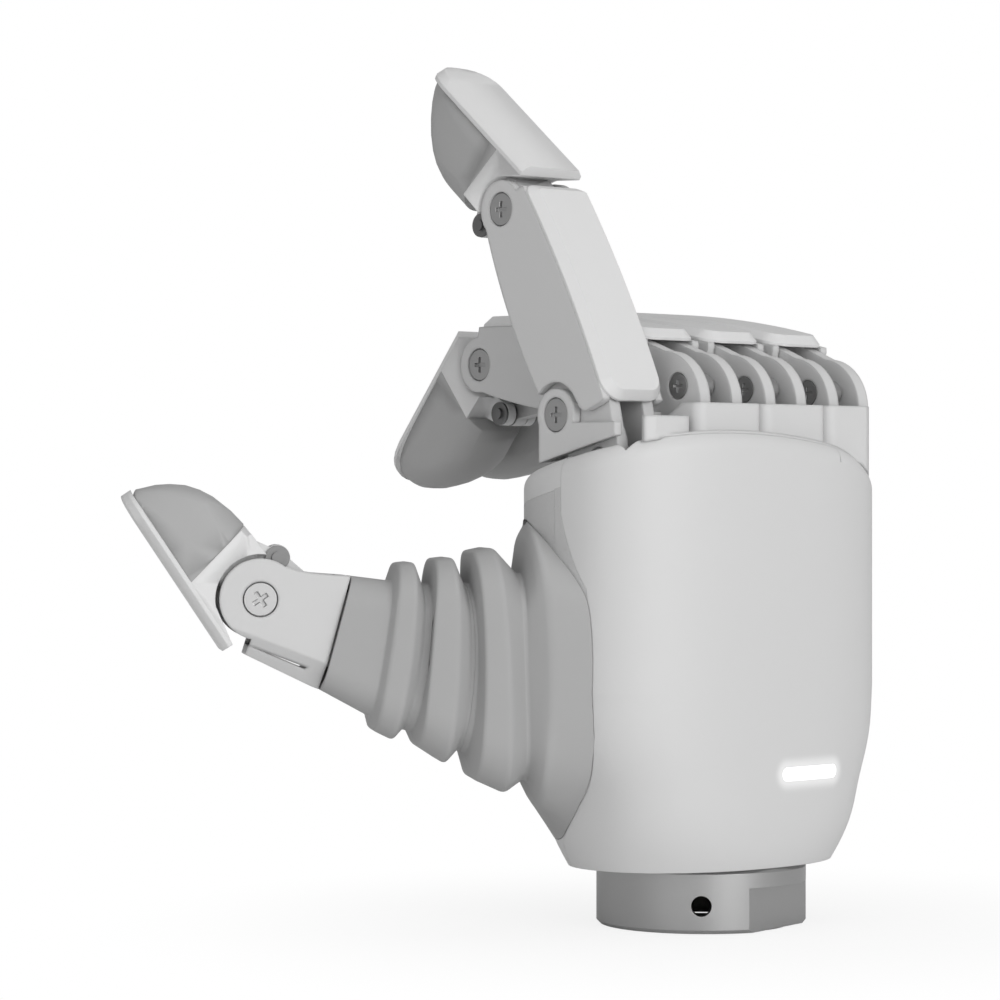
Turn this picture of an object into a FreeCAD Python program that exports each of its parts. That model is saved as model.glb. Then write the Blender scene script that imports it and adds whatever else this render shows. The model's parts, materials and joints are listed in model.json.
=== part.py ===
import FreeCAD, Part
import math
import os

# Dexterous robot hand, a right hand with its fingers up. All sizes are in millimetres.
# The origin is the centre of the wrist flange's end face. +Z runs up the hand, -Y is the back
# of the hand, +Y is its palm side, and -X is the thumb side.

Vec = FreeCAD.Vector

# Wrist flange
flange_dia = 46.0
flange_height = 13.6
flange_bore_dia = 38.0
flange_bore_depth = 9.0
flange_edge = 0.8
flange_flat_depth = 3.6
flange_flat_azimuth = -76.0
set_screw_dia = 4.4
set_screw_height = 6.0
set_screw_azimuth = -135.0
bolt_circle_dia = 26.0
bolt_hole_dia = 3.4
bolt_count = 4
cable_hole_dia = 12.0

# Palm casing: rows of height, half width, half depth and squareness of the section
palm_half_width = 43.0
palm_half_depth = 25.0
palm_taper_top = 52.0
palm_taper = [
    (0.0, 0.76, 0.90, 2.2),
    (4.5, 0.80, 0.96, 2.4),
    (10.2, 0.834, 0.99, 2.7),
    (16.8, 0.875, 1.0, 2.8),
    (24.3, 0.948, 1.0, 2.8),
    (30.9, 0.986, 1.0, 2.8),
    (palm_taper_top - flange_height, 1.0, 1.0, 2.8),
]
shell_wall = 1.8
skin_wall = 1.4
cover_wall = 2.0
casing_gap = 0.2
seam_y = -1.0
seam_bulge = 8.0
seam_low_y = 8.5
crown_height = 108.9
crown_x = -15.0
crown_slope = 0.24
crown_edge_radius = 4.0
deck_thickness = 3.0
skin_band = 6.5
skin_low_z = 22.0
neck_dia = 36.0
floor_thickness = 1.8

deck_top = 0.6
deck_side = 0.6
rim_gap = 0.15
collar_front_y = -7.6
collar_slope_run = 6.6
index_collar_front_y = -14.0
index_collar_half_width = 9.6
collar_corner = 2.5
index_collar_corner = 4.0

# Fasteners and inner frame
wrist_screw_dia = 3.0
wrist_screw_head_dia = 5.6
wrist_screw_head_height = 2.6
wrist_screw_socket_dia = 2.6
wrist_screw_reach = 4.0
chassis_base_dia = 52.0
chassis_half_width = 33.0
frame_bar_high_z = 97.0
channel_half_width = 3.4
channel_back_y = -12.4
channel_low_z = 58.0

# Digits
digit_width = 17.6
finger_pitch = 20.2
wall_thickness = 2.0
side_gap = 0.2
running_gap = 0.05
proximal_length = 48.3
ear_radius = 6.3
hub_radius = 5.6
eye_radius = 5.0
plate_inner = 3.3
plate_outer = 6.4
cover_thickness = 2.4
cover_chamfer = 1.8
cover_root = -3.0
cover_end = 50.0
cover_root_radius = 5.0
cover_end_radius = 2.5
horn_radius = 11.5
horn_centre = (-2.02, -9.49)
horn_pin_arm = (-6.7, -13.2)
pivot_pin_dia = 4.0
pivot_head_dia = 7.0
pivot_head_height = 1.1
head_recess_gap = 0.25
head_sink = 0.2
link_pin_dia = 2.5
horn_pin_dia = 3.0
horn_head_dia = 5.4
horn_head_height = 0.8
link_half_thickness = 1.6
lug_inner = 1.9
lug_outer = 3.1
coupling_rod_width = 3.2
coupling_play = 1.7
anchor_arm = (-2.0, 6.5)
drive_link_length = 37.0
drive_link_width = 4.0

bridge_low_z = 24.0
bridge_high_z = 44.0
bridge_thickness = 1.6
ear_shelf = 1.7
ear_back = -9.5
index_ear_back = -18.2

# Knuckles and their seats
knuckle_pivot_y = 5.0
knuckle_pivot_z = 113.5
index_drop = 2.5
swing_axis_z = 92.0
little_swing_axis_z = 86.0
swing_lug_radius = 4.4
swing_lug_low_y = 8.6
swing_lug_high_y = 13.2
swing_pin_dia = 4.0
knuckle_lift = 1.2
collar_back_y = -19.3
collar_wall = 1.7
collar_half_width = 9.9
collar_top_z = 113.6
collar_rise = 4.2
index_collar_top_z = 110.6
opening_half_width = 8.2
opening_front_y = 14.2
opening_back_y = -17.6

# Thumb: its base point on the palm, the azimuth of its flexion axis and its joints
thumb_base_x = -36.0
thumb_base_y = 8.0
thumb_azimuth = -34.0
thumb_pivot_out = 22.2
thumb_pivot_z = 55.8
thumb_length = 45.0
thumb_lean = -69.0
thumb_tip_lean = -33.5
thumb_ear_radius = 8.6
port_half_width = 15.0
port_low_z = 36.5
port_high_z = 78.0
clevis_plate = 3.6
swing_post_back = -4.0
swing_post_side = -2.0
swing_post_radius = 6.0
swing_post_low_z = 46.7
swing_post_high_z = 65.1
thumb_pin_dia = 5.0
thumb_yoke_radius = 7.0
thumb_yoke_outer = 9.4
thumb_anchor_arm = (-6.03, -3.15)
boot_wall = 1.5
boot_corner = 6.0

# Inner structure
frame_plate_back_y = 1.2
frame_plate_front_y = 4.2
frame_bar_back_y = 6.0
frame_bar_front_y = 15.8
frame_bar_low_z = 79.5
actuator_half_width = 6.0
actuator_back_y = -15.8
actuator_front_y = 1.0
actuator_low_z = 52.0
actuator_high_z = 84.0
motor_dia = 10.0
motor_low_z = 38.0

# Status light on the back of the hand
light_width = 18.0
light_height = 3.0
light_z = 33.8
light_x = 8.6
light_depth = 1.0


def outline(plane, steps):
    """A closed wire. A step is a point, or an arc given by a middle point and an end point."""
    place = {
        "yz": lambda a, b: Vec(0, a, b),
        "xz": lambda a, b: Vec(a, 0, b),
        "xy": lambda a, b: Vec(a, b, 0),
    }[plane]
    start = place(*steps[0])
    here = start
    edges = []
    for step in steps[1:]:
        if isinstance(step[0], tuple):
            end = place(*step[1])
            edges.append(Part.Arc(here, place(*step[0]), end).toShape())
        else:
            end = place(*step)
            edges.append(Part.makeLine(here, end))
        here = end
    if here.distanceToPoint(start) > 1e-6:
        edges.append(Part.makeLine(here, start))
    return Part.Wire(edges)


def slab(plane, steps, low, high):
    """The outline extruded across its plane from low to high."""
    normal = {"yz": Vec(1, 0, 0), "xz": Vec(0, 1, 0), "xy": Vec(0, 0, 1)}[plane]
    face = Part.Face(outline(plane, steps))
    face.translate(normal * low)
    return face.extrude(normal * (high - low))


def pair(plane, steps, inner, outer):
    """Two mirrored plates across X, each from inner to outer."""
    return [slab(plane, steps, inner, outer), slab(plane, steps, -outer, -inner)]


def block(x0, x1, y0, y1, z0, z1):
    return Part.makeBox(x1 - x0, y1 - y0, z1 - z0, Vec(x0, y0, z0))


def bar_x(radius, low, high, y, z):
    """A round bar along X."""
    return Part.makeCylinder(radius, high - low, Vec(low, y, z), Vec(1, 0, 0))


def bar_y(radius, low, high, x, z):
    """A round bar along Y."""
    return Part.makeCylinder(radius, high - low, Vec(x, low, z), Vec(0, 1, 0))


def join(shapes):
    return shapes[0].fuse(shapes[1:]).removeSplitter()


def face_edges(shape, point):
    """The edges of the face that a point lies on."""
    probe = Part.Vertex(Vec(*point))
    for face in shape.Faces:
        if face.distToShape(probe)[0] < 1e-4:
            return face.Edges
    raise ValueError("no face at the point")


def save(name, shapes):
    os.makedirs("parts", exist_ok=True)
    solids = [solid for shape in shapes for solid in shape.Solids]
    whole = solids[0] if len(solids) == 1 else Part.makeCompound(solids)
    whole.exportStep("parts/" + name + ".step")


class Digit:
    """Places pieces that are modelled upright, with their pivot at the origin and palm side at +Y."""

    def __init__(self, name, root, yaw, lean, tip_lean, length):
        self.name = name
        self.root = root
        self.yaw = yaw
        self.lean = lean
        self.tip_lean = tip_lean
        self.length = length

    def upright(self, shape):
        placed = shape.copy()
        placed.rotate(Vec(0, 0, 0), Vec(0, 0, 1), self.yaw)
        placed.translate(self.root)
        return placed

    def leaning(self, shape, angle, pivot_y=0.0, pivot_z=0.0):
        placed = shape.copy()
        placed.rotate(Vec(0, 0, 0), Vec(1, 0, 0), -angle)
        placed.translate(Vec(0, pivot_y, pivot_z))
        return self.upright(placed)

    def proximal(self, shape):
        return self.leaning(shape, self.lean)

    def tip_pivot(self):
        angle = math.radians(self.lean)
        return self.length * math.sin(angle), self.length * math.cos(angle)

    def distal(self, shape):
        y, z = self.tip_pivot()
        return self.leaning(shape, self.tip_lean, y, z)


def turned_point(y, z, angle):
    """A point of an upright piece after it leans by the angle towards the palm side."""
    a = math.radians(angle)
    return y * math.cos(a) + z * math.sin(a), z * math.cos(a) - y * math.sin(a)


half = digit_width / 2
wall_inner = half - wall_thickness


# Palm casing


def palm_section(height, half_width, half_depth, squareness):
    """A closed smooth curve round the palm, a superellipse."""
    points = []
    count = 32
    for i in range(count):
        t = 2 * math.pi * (i + 0.5) / count
        c, s = math.cos(t), math.sin(t)
        x = half_width * math.copysign(abs(c) ** (2 / squareness), c)
        y = half_depth * math.copysign(abs(s) ** (2 / squareness), s)
        points.append(Vec(x, y, height))
    curve = Part.BSplineCurve()
    curve.interpolate(Points=points, PeriodicFlag=True)
    return Part.Wire([curve.toShape()])


def palm_volume(inset):
    """The palm's outer form less a wall, open upwards."""
    wires = []
    for rise, wide, deep, squareness in palm_taper:
        wires.append(
            palm_section(
                flange_height + rise,
                palm_half_width * wide - inset,
                palm_half_depth * deep - inset,
                squareness,
            )
        )
    lower = Part.makeLoft(wires, True, False)
    top_face = Part.Face(wires[-1])
    upper = top_face.extrude(Vec(0, 0, crown_height + 6 - palm_taper_top))
    return lower.fuse(upper)


def above_crown(lift):
    """Everything above the palm's arched top, which falls towards the palm side."""
    steps = [
        (-60.0, 105.2),
        ((crown_x, crown_height), (20.0, 106.0)),
        ((33.0, 102.4), (60.0, 88.0)),
        (60.0, 150.0),
        (-60.0, 150.0),
    ]
    face = Part.Face(outline("xz", steps))
    run = 45.0
    face.translate(Vec(0, -palm_half_depth - 15, 15 * crown_slope + lift))
    return face.extrude(Vec(0, 2 * run, -2 * run * crown_slope))


far = 200.0
casing = palm_volume(0).cut(above_crown(0))
rim = [face for face in casing.Faces if face.CenterOfMass.z > crown_height - 14]
rim_edges = [edge for face in rim for edge in face.Edges]
outer_rim = [edge for edge in rim_edges if sum(1 for other in rim_edges if other.isSame(edge)) == 1]
casing = casing.makeFillet(crown_edge_radius, outer_rim)
casing_floor = flange_height + floor_thickness


def room(inset):
    """The space inside a wall of the casing, from the floor up."""
    return palm_volume(inset).cut(block(-far, far, -far, far, 0, casing_floor))


# The back shell ends at this line, which bulges round the thumb on its side.
back_region = slab(
    "yz",
    [
        (seam_y, far),
        (seam_y, 90.0),
        ((seam_y - 2.6, 82.0), (seam_y - seam_bulge + 1, 74.0)),
        ((seam_y - seam_bulge - 0.2, 57.0), (seam_y - seam_bulge, 42.0)),
        ((seam_y - seam_bulge + 3.2, 34.0), (seam_y + 1.6, 27.4)),
        (seam_low_y, 19.0),
        (seam_low_y, -1.0),
        (-far, -1.0),
        (-far, far),
    ],
    -far,
    0,
).fuse(block(0, far, -far, seam_y, -1, far))

neck_hole = Part.makeCylinder(neck_dia / 2, floor_thickness + 2, Vec(0, 0, flange_height - 1))
back_half = casing.common(back_region)
front_half = casing.cut(back_region)


def light_slot(width, height, depth):
    """A slot with round ends at the status light, from its depth under the casing outwards."""
    r = height / 2
    a = width / 2 - r
    steps = [
        (light_x - a, light_z - r),
        (light_x + a, light_z - r),
        ((light_x + a + r, light_z), (light_x + a, light_z + r)),
        (light_x - a, light_z + r),
        ((light_x - a - r, light_z), (light_x - a, light_z - r)),
    ]
    return slab("xz", steps, -palm_half_depth - 2, 0).cut(palm_volume(depth))


fingers = [
    ("index", -1.5 * finger_pitch, knuckle_pivot_z - index_drop, 21.3, 51.0, swing_axis_z),
    ("middle", -0.5 * finger_pitch, knuckle_pivot_z, 78.0, 140.0, swing_axis_z),
    ("ring", 0.5 * finger_pitch, knuckle_pivot_z, 76.5, 137.7, swing_axis_z),
    ("little", 1.5 * finger_pitch, knuckle_pivot_z, 75.0, 135.3, little_swing_axis_z),
]

light = casing.common(light_slot(light_width, light_height, light_depth))
save("light_bar", [light])
dorsal_shell = back_half.cut(room(shell_wall)).cut(neck_hole)
dorsal_shell = dorsal_shell.cut(light_slot(light_width, light_height, light_depth))
horn_reach = math.hypot(horn_centre[0], horn_centre[1]) + horn_radius
for name, x, z, lean, tip_lean, swing_z in fingers:
    sweep = bar_x(horn_reach + 0.7, x - plate_outer - 1.2, x + plate_outer + 1.2, knuckle_pivot_y, z)
    dorsal_shell = dorsal_shell.cut(sweep)
save("dorsal_shell", [dorsal_shell])

skin_outline = [
    (seam_y + 2.0, skin_low_z + 8),
    ((seam_y + 6.0, skin_low_z + 1), (seam_y + 12.0, skin_low_z)),
    (far, skin_low_z),
    (far, far),
    (seam_y + 2.0, far),
]
skin_region = slab("yz", skin_outline, -far, far).cut(above_crown(-skin_band))
thumb_turn = Vec(0, 0, 1)
thumb_yaw = thumb_azimuth - 90.0


def at_thumb(shape, out=0.0, up=0.0):
    """Puts an upright piece at the thumb's base point, moved outwards and up."""
    placed = shape.copy()
    placed.translate(Vec(0, -out, up))
    placed.rotate(Vec(0, 0, 0), thumb_turn, thumb_yaw)
    placed.translate(Vec(thumb_base_x, thumb_base_y, 0))
    return placed


def port(width, low, high, near=-14.0, away=60.0):
    """The opening for the thumb, with round corners."""
    r = 6.0
    steps = [
        (-width + r, low),
        (width - r, low),
        ((width - r * 0.293, low + r * 0.293), (width, low + r)),
        (width, high - r),
        ((width - r * 0.293, high - r * 0.293), (width - r, high)),
        (-width + r, high),
        ((-width + r * 0.293, high - r * 0.293), (-width, high - r)),
        (-width, low + r),
        ((-width + r * 0.293, low + r * 0.293), (-width + r, low)),
    ]
    return at_thumb(slab("xz", steps, -away, -near))


thumb_port = port(port_half_width, port_low_z, port_high_z)
skin_wall_full = cover_wall + skin_wall
cover_half = front_half.cut(room(skin_wall_full)).cut(neck_hole)
skin_pocket = cover_half.cut(palm_volume(skin_wall)).common(skin_region)
palm_cover = cover_half.cut(skin_pocket).cut(thumb_port)
save("palm_cover", [palm_cover])
save("palm_skin", [skin_pocket.cut(thumb_port)])
dorsal_shell = dorsal_shell.cut(thumb_port)
save("dorsal_shell", [dorsal_shell])


# Knuckle cap: the deck under the fingers and a collar round the back of each one


def deck_room(gap):
    """The space that the deck may fill, less a gap at the casing's walls."""
    back = palm_volume(shell_wall + gap).common(block(-far, far, -far, seam_y, 0, far))
    front = palm_volume(skin_wall_full + gap).common(block(-far, far, seam_y, far, 0, far))
    return back.fuse(front)


deck = deck_room(casing_gap).common(above_crown(-deck_top - deck_thickness)).cut(above_crown(-deck_top))
collars = []
openings = []
for name, x, z, lean, tip_lean, swing_z in fingers:
    first = name == "index"
    side = index_collar_half_width if first else collar_half_width
    top = index_collar_top_z if first else collar_top_z
    front = index_collar_front_y if first else collar_front_y
    run = 1.0 if first else collar_slope_run
    rise = 1.2 if first else collar_rise
    back = collar_back_y
    r = index_collar_corner if first else collar_corner
    k = r * 0.293
    plan = [
        (x - side, 0.0),
        (x - side, back + r),
        ((x - side + k, back + k), (x - side + r, back)),
        (x + side - r, back),
        ((x + side - k, back + k), (x + side, back + r)),
        (x + side, 0.0),
    ]
    shape = slab("xy", plan, 92.0, top)
    rim_line = [
        (front, 90.0),
        (front, top - rise),
        (front - run, top),
        (front - run, top + 9),
        (20.0, top + 9),
        (20.0, 90.0),
    ]
    collars.append(shape.cut(slab("yz", rim_line, -far, far)))
    mouth = block(
        x - opening_half_width, x + opening_half_width, opening_back_y, opening_front_y, 80.0, 120.0
    )
    if first:
        inner_side = side - collar_wall
        inner_back = back + collar_wall
        r = r - collar_wall
        k = r * 0.293
        plan = [
            (x - inner_side, opening_front_y),
            (x - inner_side, inner_back + r),
            ((x - inner_side + k, inner_back + k), (x - inner_side + r, inner_back)),
            (x + inner_side - r, inner_back),
            ((x + inner_side - k, inner_back + k), (x + inner_side, inner_back + r)),
            (x + inner_side, opening_front_y),
        ]
        mouth = slab("xy", plan, 80.0, 120.0)
    openings.append(mouth)
collar_ring = collars[0].fuse(collars[1:]).common(above_crown(-deck_top - 1.0)).common(palm_volume(deck_side))
knuckle_cap = deck.fuse(collar_ring).cut(openings[0].fuse(openings[1:]))
raised_shell = dorsal_shell.copy()
raised_shell.translate(Vec(0, 0, rim_gap))
knuckle_cap = knuckle_cap.cut([thumb_port, dorsal_shell, raised_shell])
save("knuckle_cap", [max(knuckle_cap.Solids, key=lambda solid: solid.Volume)])


# Wrist


def around(count, radius, start=0.0):
    """Points evenly round a circle."""
    angles = [math.radians(start + 360.0 * i / count) for i in range(count)]
    return [(radius * math.cos(a), radius * math.sin(a)) for a in angles]


def turned(shape, azimuth):
    placed = shape.copy()
    placed.rotate(Vec(0, 0, 0), Vec(0, 0, 1), azimuth)
    return placed


flange = Part.makeCylinder(flange_dia / 2, flange_height)
flange = flange.makeChamfer(flange_edge, [edge for edge in flange.Edges if len(edge.Vertexes) == 1])
flange = flange.cut(Part.makeCylinder(flange_bore_dia / 2, flange_bore_depth))
for bx, by in around(bolt_count, bolt_circle_dia / 2, 45.0):
    flange = flange.cut(Part.makeCylinder(bolt_hole_dia / 2, flange_height, Vec(bx, by, 0)))
    seat = Part.makeCylinder(
        wrist_screw_head_dia / 2 + 0.2, flange_bore_depth + wrist_screw_head_height + 0.2, Vec(bx, by, 0)
    )
    flange = flange.cut(seat)
flange = flange.cut(Part.makeCylinder(cable_hole_dia / 2, flange_height))
screw_bore = Part.makeCylinder(set_screw_dia / 2, flange_dia, Vec(0, 0, set_screw_height), Vec(1, 0, 0))
flange = flange.cut(turned(screw_bore, set_screw_azimuth))
flat = block(
    flange_dia / 2 - flange_flat_depth, flange_dia, -flange_dia, flange_dia, -1, flange_height - 4.0
)
flange = flange.cut(turned(flat, flange_flat_azimuth))
save("wrist_flange", [flange])

screws = []
for bx, by in around(bolt_count, bolt_circle_dia / 2, 45.0):
    low = flange_bore_depth + 0.1
    head = Part.makeCylinder(wrist_screw_head_dia / 2, wrist_screw_head_height, Vec(bx, by, low))
    socket = Part.makeCylinder(wrist_screw_socket_dia / 2, 1.4, Vec(bx, by, low))
    length = flange_height - low + wrist_screw_reach
    shank = Part.makeCylinder(wrist_screw_dia / 2, length, Vec(bx, by, low))
    screws.append(head.fuse(shank).cut(socket))
save("wrist_screws", screws)

# Chassis: a neck on the flange, a base, an upright plate and the bar that carries the knuckles
neck = Part.makeCylinder(neck_dia / 2 - running_gap - 0.2, floor_thickness + 3.0, Vec(0, 0, flange_height))
base = Part.makeCylinder(chassis_base_dia / 2, 3.0, Vec(0, 0, casing_floor + 0.1))
upright = block(
    -chassis_half_width, chassis_half_width, frame_plate_back_y, frame_plate_front_y,
    casing_floor + 1.0, frame_bar_low_z + 5.0
)
bar = block(-60.0, 60.0, frame_bar_back_y, frame_bar_front_y, frame_bar_low_z, frame_bar_high_z)
web = block(
    -chassis_half_width, chassis_half_width, frame_plate_front_y - 1, frame_bar_back_y + 1,
    frame_bar_low_z, frame_bar_low_z + 5.0
)
chassis = join([neck, base, upright, bar, web])
swing_x, swing_y = swing_post_side, -swing_post_back
swing_column = at_thumb(
    Part.makeCylinder(
        swing_post_radius + 1.6,
        swing_post_high_z - swing_post_low_z + 0.6,
        Vec(swing_x, swing_y, swing_post_low_z - 0.3),
    )
)
clevis = at_thumb(
    Part.makeCylinder(
        swing_post_radius + 1.0,
        swing_post_high_z - swing_post_low_z + 2 * clevis_plate,
        Vec(swing_x, swing_y, swing_post_low_z - clevis_plate),
    ).fuse(block(swing_x - 7, swing_x + 7, swing_y, swing_y + 12, swing_post_low_z - clevis_plate,
                 swing_post_high_z + clevis_plate))
)
clevis = clevis.common(block(-far, far, frame_plate_back_y, far, -1, far))
chassis = chassis.fuse(clevis).cut(swing_column)
sweep_box = at_thumb(block(-16, 16, -60, swing_y + 1.0, swing_post_low_z - 0.3, swing_post_high_z + 0.3))
chassis = chassis.cut(sweep_box)
for bx, by in around(bolt_count, bolt_circle_dia / 2, 45.0):
    tapped = Part.makeCylinder(wrist_screw_dia / 2 + running_gap, 12.0, Vec(bx, by, flange_height - 1))
    chassis = chassis.cut(tapped)
chassis = chassis.cut(Part.makeCylinder(cable_hole_dia / 2 + 1.0, 12.0, Vec(0, 0, flange_height - 1)))
thumb_bore = at_thumb(Part.makeCylinder(thumb_pin_dia / 2 + running_gap, 40.0, Vec(swing_x, swing_y, 35.0)))
chassis = chassis.cut(thumb_bore)
for name, x, z, lean, tip_lean, swing_z in fingers:
    chassis = chassis.cut(
        block(x - swing_lug_radius - 1.0, x + swing_lug_radius + 1.0, swing_lug_low_y - 0.15,
              swing_lug_high_y + 0.15, swing_z - swing_lug_radius - 1.0, far)
    )
    chassis = chassis.cut(bar_y(swing_pin_dia / 2 + running_gap, 0.0, 30.0, x, swing_z))
chassis = chassis.common(palm_volume(skin_wall_full + 0.4).fuse(neck))
chassis = chassis.cut(above_crown(-deck_top - deck_thickness - 0.4))
chassis = max(chassis.Solids, key=lambda solid: solid.Volume)
save("palm_chassis", [chassis])

pins = []
for name, x, z, lean, tip_lean, swing_z in fingers:
    pins.append(bar_y(swing_pin_dia / 2, frame_bar_back_y + 0.1, frame_bar_front_y - 1.4, x, swing_z))
thumb_pin_length = swing_post_high_z - swing_post_low_z + 2 * clevis_plate
pins.append(
    at_thumb(
        Part.makeCylinder(
            thumb_pin_dia / 2, thumb_pin_length, Vec(swing_x, swing_y, swing_post_low_z - clevis_plate)
        )
    )
)
save("swing_pins", pins)

motors = []
for name, x, z, lean, tip_lean, swing_z in fingers:
    body = block(
        x - actuator_half_width, x + actuator_half_width, actuator_back_y, actuator_front_y,
        actuator_low_z, actuator_high_z
    )
    channel = block(
        x - channel_half_width, x + channel_half_width, channel_back_y, actuator_front_y + 1,
        channel_low_z, actuator_high_z + 1
    )
    can = Part.makeCylinder(motor_dia / 2, actuator_low_z - motor_low_z, Vec(x, -6.0, motor_low_z))
    motors.append(body.cut(channel).fuse(can).common(palm_volume(shell_wall + 0.5)))
motors.append(Part.makeCylinder(7.0, 20.0, Vec(-24.0, 12.0, 22.0)).common(palm_volume(skin_wall_full + 0.5)))
save("actuators", motors)


# Digit pieces, modelled upright. Every finger has the same ones.


def ring_cut(shape, radius, y, z):
    return shape.cut(bar_x(radius, -far, far, y, z))


def head_seats(shape, outer, y, z, dia, height):
    """Recesses for the heads of a pin at both sides."""
    for side in (-1, 1):
        low = side * (outer - height)
        high = side * (outer + 5)
        seat = bar_x(dia / 2 + head_recess_gap, min(low, high), max(low, high), y, z)
        shape = shape.cut(seat)
    return shape


def headed_pin(dia, head_dia, head_height, outer, y, z, inner=0.0):
    """A pin with a slotted head at each side. With an inner end it becomes two stubs."""
    pieces = []
    for side in (-1, 1):
        body = bar_x(dia / 2, inner, outer - 0.01, y, z)
        head = bar_x(head_dia / 2, outer - head_height, outer, y, z)
        piece = body.fuse(head)
        if side < 0:
            piece = piece.mirror(Vec(0, 0, 0), Vec(1, 0, 0))
        pieces.append(piece)
    if inner == 0.0:
        return [pieces[0].fuse(pieces[1])]
    return pieces


cover_inside = ((-12.8, 25.0), (-15.0, cover_root))
under_cover = slab(
    "yz",
    [(-8.4, cover_end), cover_inside, (-15.0, -30.0), (30.0, -30.0), (30.0, 60.0), (-8.4, 60.0)],
    -half,
    half,
)
wall_steps = [
    (3.4, 6.1),
    ((6.0, 27.0), (5.9, proximal_length - 2.2)),
    ((0.0, proximal_length + ear_radius), (-6.07, cover_end)),
    (-12.0, cover_end),
    (-18.0, -1.5),
    (-14.0, -2.8),
    (-10.0, -2.8),
    ((-8.2, -2.2), (-7.3, -0.2)),
    (-6.9, 1.2),
    ((-4.95, 4.95), (3.4, 6.1)),
]
plate_steps = [
    (4.7, -1.7),
    ((4.95, 0.7), (4.4, 2.4)),
    (3.6, 7.0),
    (3.4, 16.0),
    (-11.5, 16.0),
    (-14.5, 0.0),
    (-13.4, -7.9),
    ((-9.41, -18.3), (-2.9, -20.95)),
]
shoulder_steps = [(3.4, 8.0), (3.4, 16.0), (-11.5, 16.0), (-11.5, 8.0)]
walls = pair("yz", wall_steps, wall_inner, half)
plates = pair("yz", plate_steps, plate_inner, plate_outer)
shoulders = pair("yz", shoulder_steps, plate_outer - 0.1, wall_inner + 0.05)
bridge = block(-wall_inner - 0.05, wall_inner + 0.05, -16.0, -4.0, bridge_low_z, bridge_high_z)
lowered = under_cover.copy()
lowered.translate(Vec(0, bridge_thickness, 0))
bridge = bridge.common(under_cover).cut(lowered)
frame = join(walls + plates + shoulders).common(under_cover).fuse(bridge)
frame = ring_cut(frame, pivot_pin_dia / 2 + running_gap, 0.0, 0.0)
frame = ring_cut(frame, pivot_pin_dia / 2 + running_gap, 0.0, proximal_length)
seat_depth = pivot_head_height + head_sink
frame = head_seats(frame, half, 0.0, proximal_length, pivot_head_dia, seat_depth)
frame = ring_cut(frame, horn_pin_dia / 2 + running_gap, *horn_pin_arm)
for side in (-1, 1):
    inner_face = side * (plate_outer - horn_head_height)
    outer_face = side * (plate_outer + 0.3)
    seat = bar_x(
        horn_head_dia / 2 + head_recess_gap,
        min(inner_face, outer_face),
        max(inner_face, outer_face),
        *horn_pin_arm
    )
    frame = frame.cut(seat)

cover = slab(
    "yz",
    [
        (-17.4, cover_root),
        ((-15.2, 25.0), (-8.4 - cover_thickness, cover_end)),
        (-8.4, cover_end),
        cover_inside,
    ],
    -half,
    half,
)


def round_plan(width, low, high, low_r, high_r):
    """An upright plate's outline with round corners."""
    a = low_r * 0.293
    b = high_r * 0.293
    return [
        (-width + low_r, low),
        (width - low_r, low),
        ((width - a, low + a), (width, low + low_r)),
        (width, high - high_r),
        ((width - b, high - b), (width - high_r, high)),
        (-width + high_r, high),
        ((-width + b, high - b), (-width, high - high_r)),
        (-width, low + low_r),
        ((-width + a, low + a), (-width + low_r, low)),
    ]


cover_plan = round_plan(half, cover_root, cover_end, cover_root_radius, cover_end_radius)
cover = cover.common(slab("xz", cover_plan, -30.0, 0.0))
cover = cover.makeChamfer(cover_chamfer, face_edges(cover, (0.0, -15.2, 25.0)))

pin_y, pin_z = horn_pin_arm
pip_pin = headed_pin(
    pivot_pin_dia, pivot_head_dia, pivot_head_height, half - head_sink, 0.0, proximal_length
)
horn_pin = headed_pin(horn_pin_dia, horn_head_dia, horn_head_height - 0.1, plate_outer - 0.1, pin_y, pin_z)
knuckle_stubs = headed_pin(
    pivot_pin_dia, pivot_head_dia, pivot_head_height, half - head_sink, 0.0, 0.0, plate_inner + 0.3
)
anchor_pin = bar_x(link_pin_dia / 2, -lug_outer, lug_outer, *anchor_arm)

drive_link = bar_x(3.0, -link_half_thickness, link_half_thickness, 0.0, 0.0)
drive_bar = block(
    -link_half_thickness, link_half_thickness, -drive_link_width / 2, drive_link_width / 2,
    -drive_link_length, 0.0
)
drive_end = bar_x(drive_link_width / 2, -link_half_thickness, link_half_thickness, 0.0, -drive_link_length)
drive_link = join([drive_link, drive_bar, drive_end])
drive_link = ring_cut(drive_link, horn_pin_dia / 2 + running_gap, 0.0, 0.0)


def coupling_rod(near, away, thickness):
    """A rod from the anchor's play ring to the pin in the fingertip, as (y, z) points."""
    length = math.dist(near, away)
    ring = link_pin_dia / 2 + coupling_play
    rod = bar_x(ring + 1.5, -thickness, thickness, 0.0, 0.0)
    rod = rod.fuse(bar_x(2.8, -thickness, thickness, 0.0, length))
    rod = rod.fuse(
        block(-thickness, thickness, -coupling_rod_width / 2, coupling_rod_width / 2, 0.0, length)
    )
    rod = rod.removeSplitter().cut(bar_x(ring, -far, far, 0.0, 0.0))
    rod = rod.cut(bar_x(link_pin_dia / 2 + running_gap, -far, far, 0.0, length))
    lean = math.atan2(away[0] - near[0], away[1] - near[1])
    rod.rotate(Vec(0, 0, 0), Vec(1, 0, 0), -math.degrees(lean))
    rod.translate(Vec(0, near[0], near[1]))
    return rod


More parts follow.
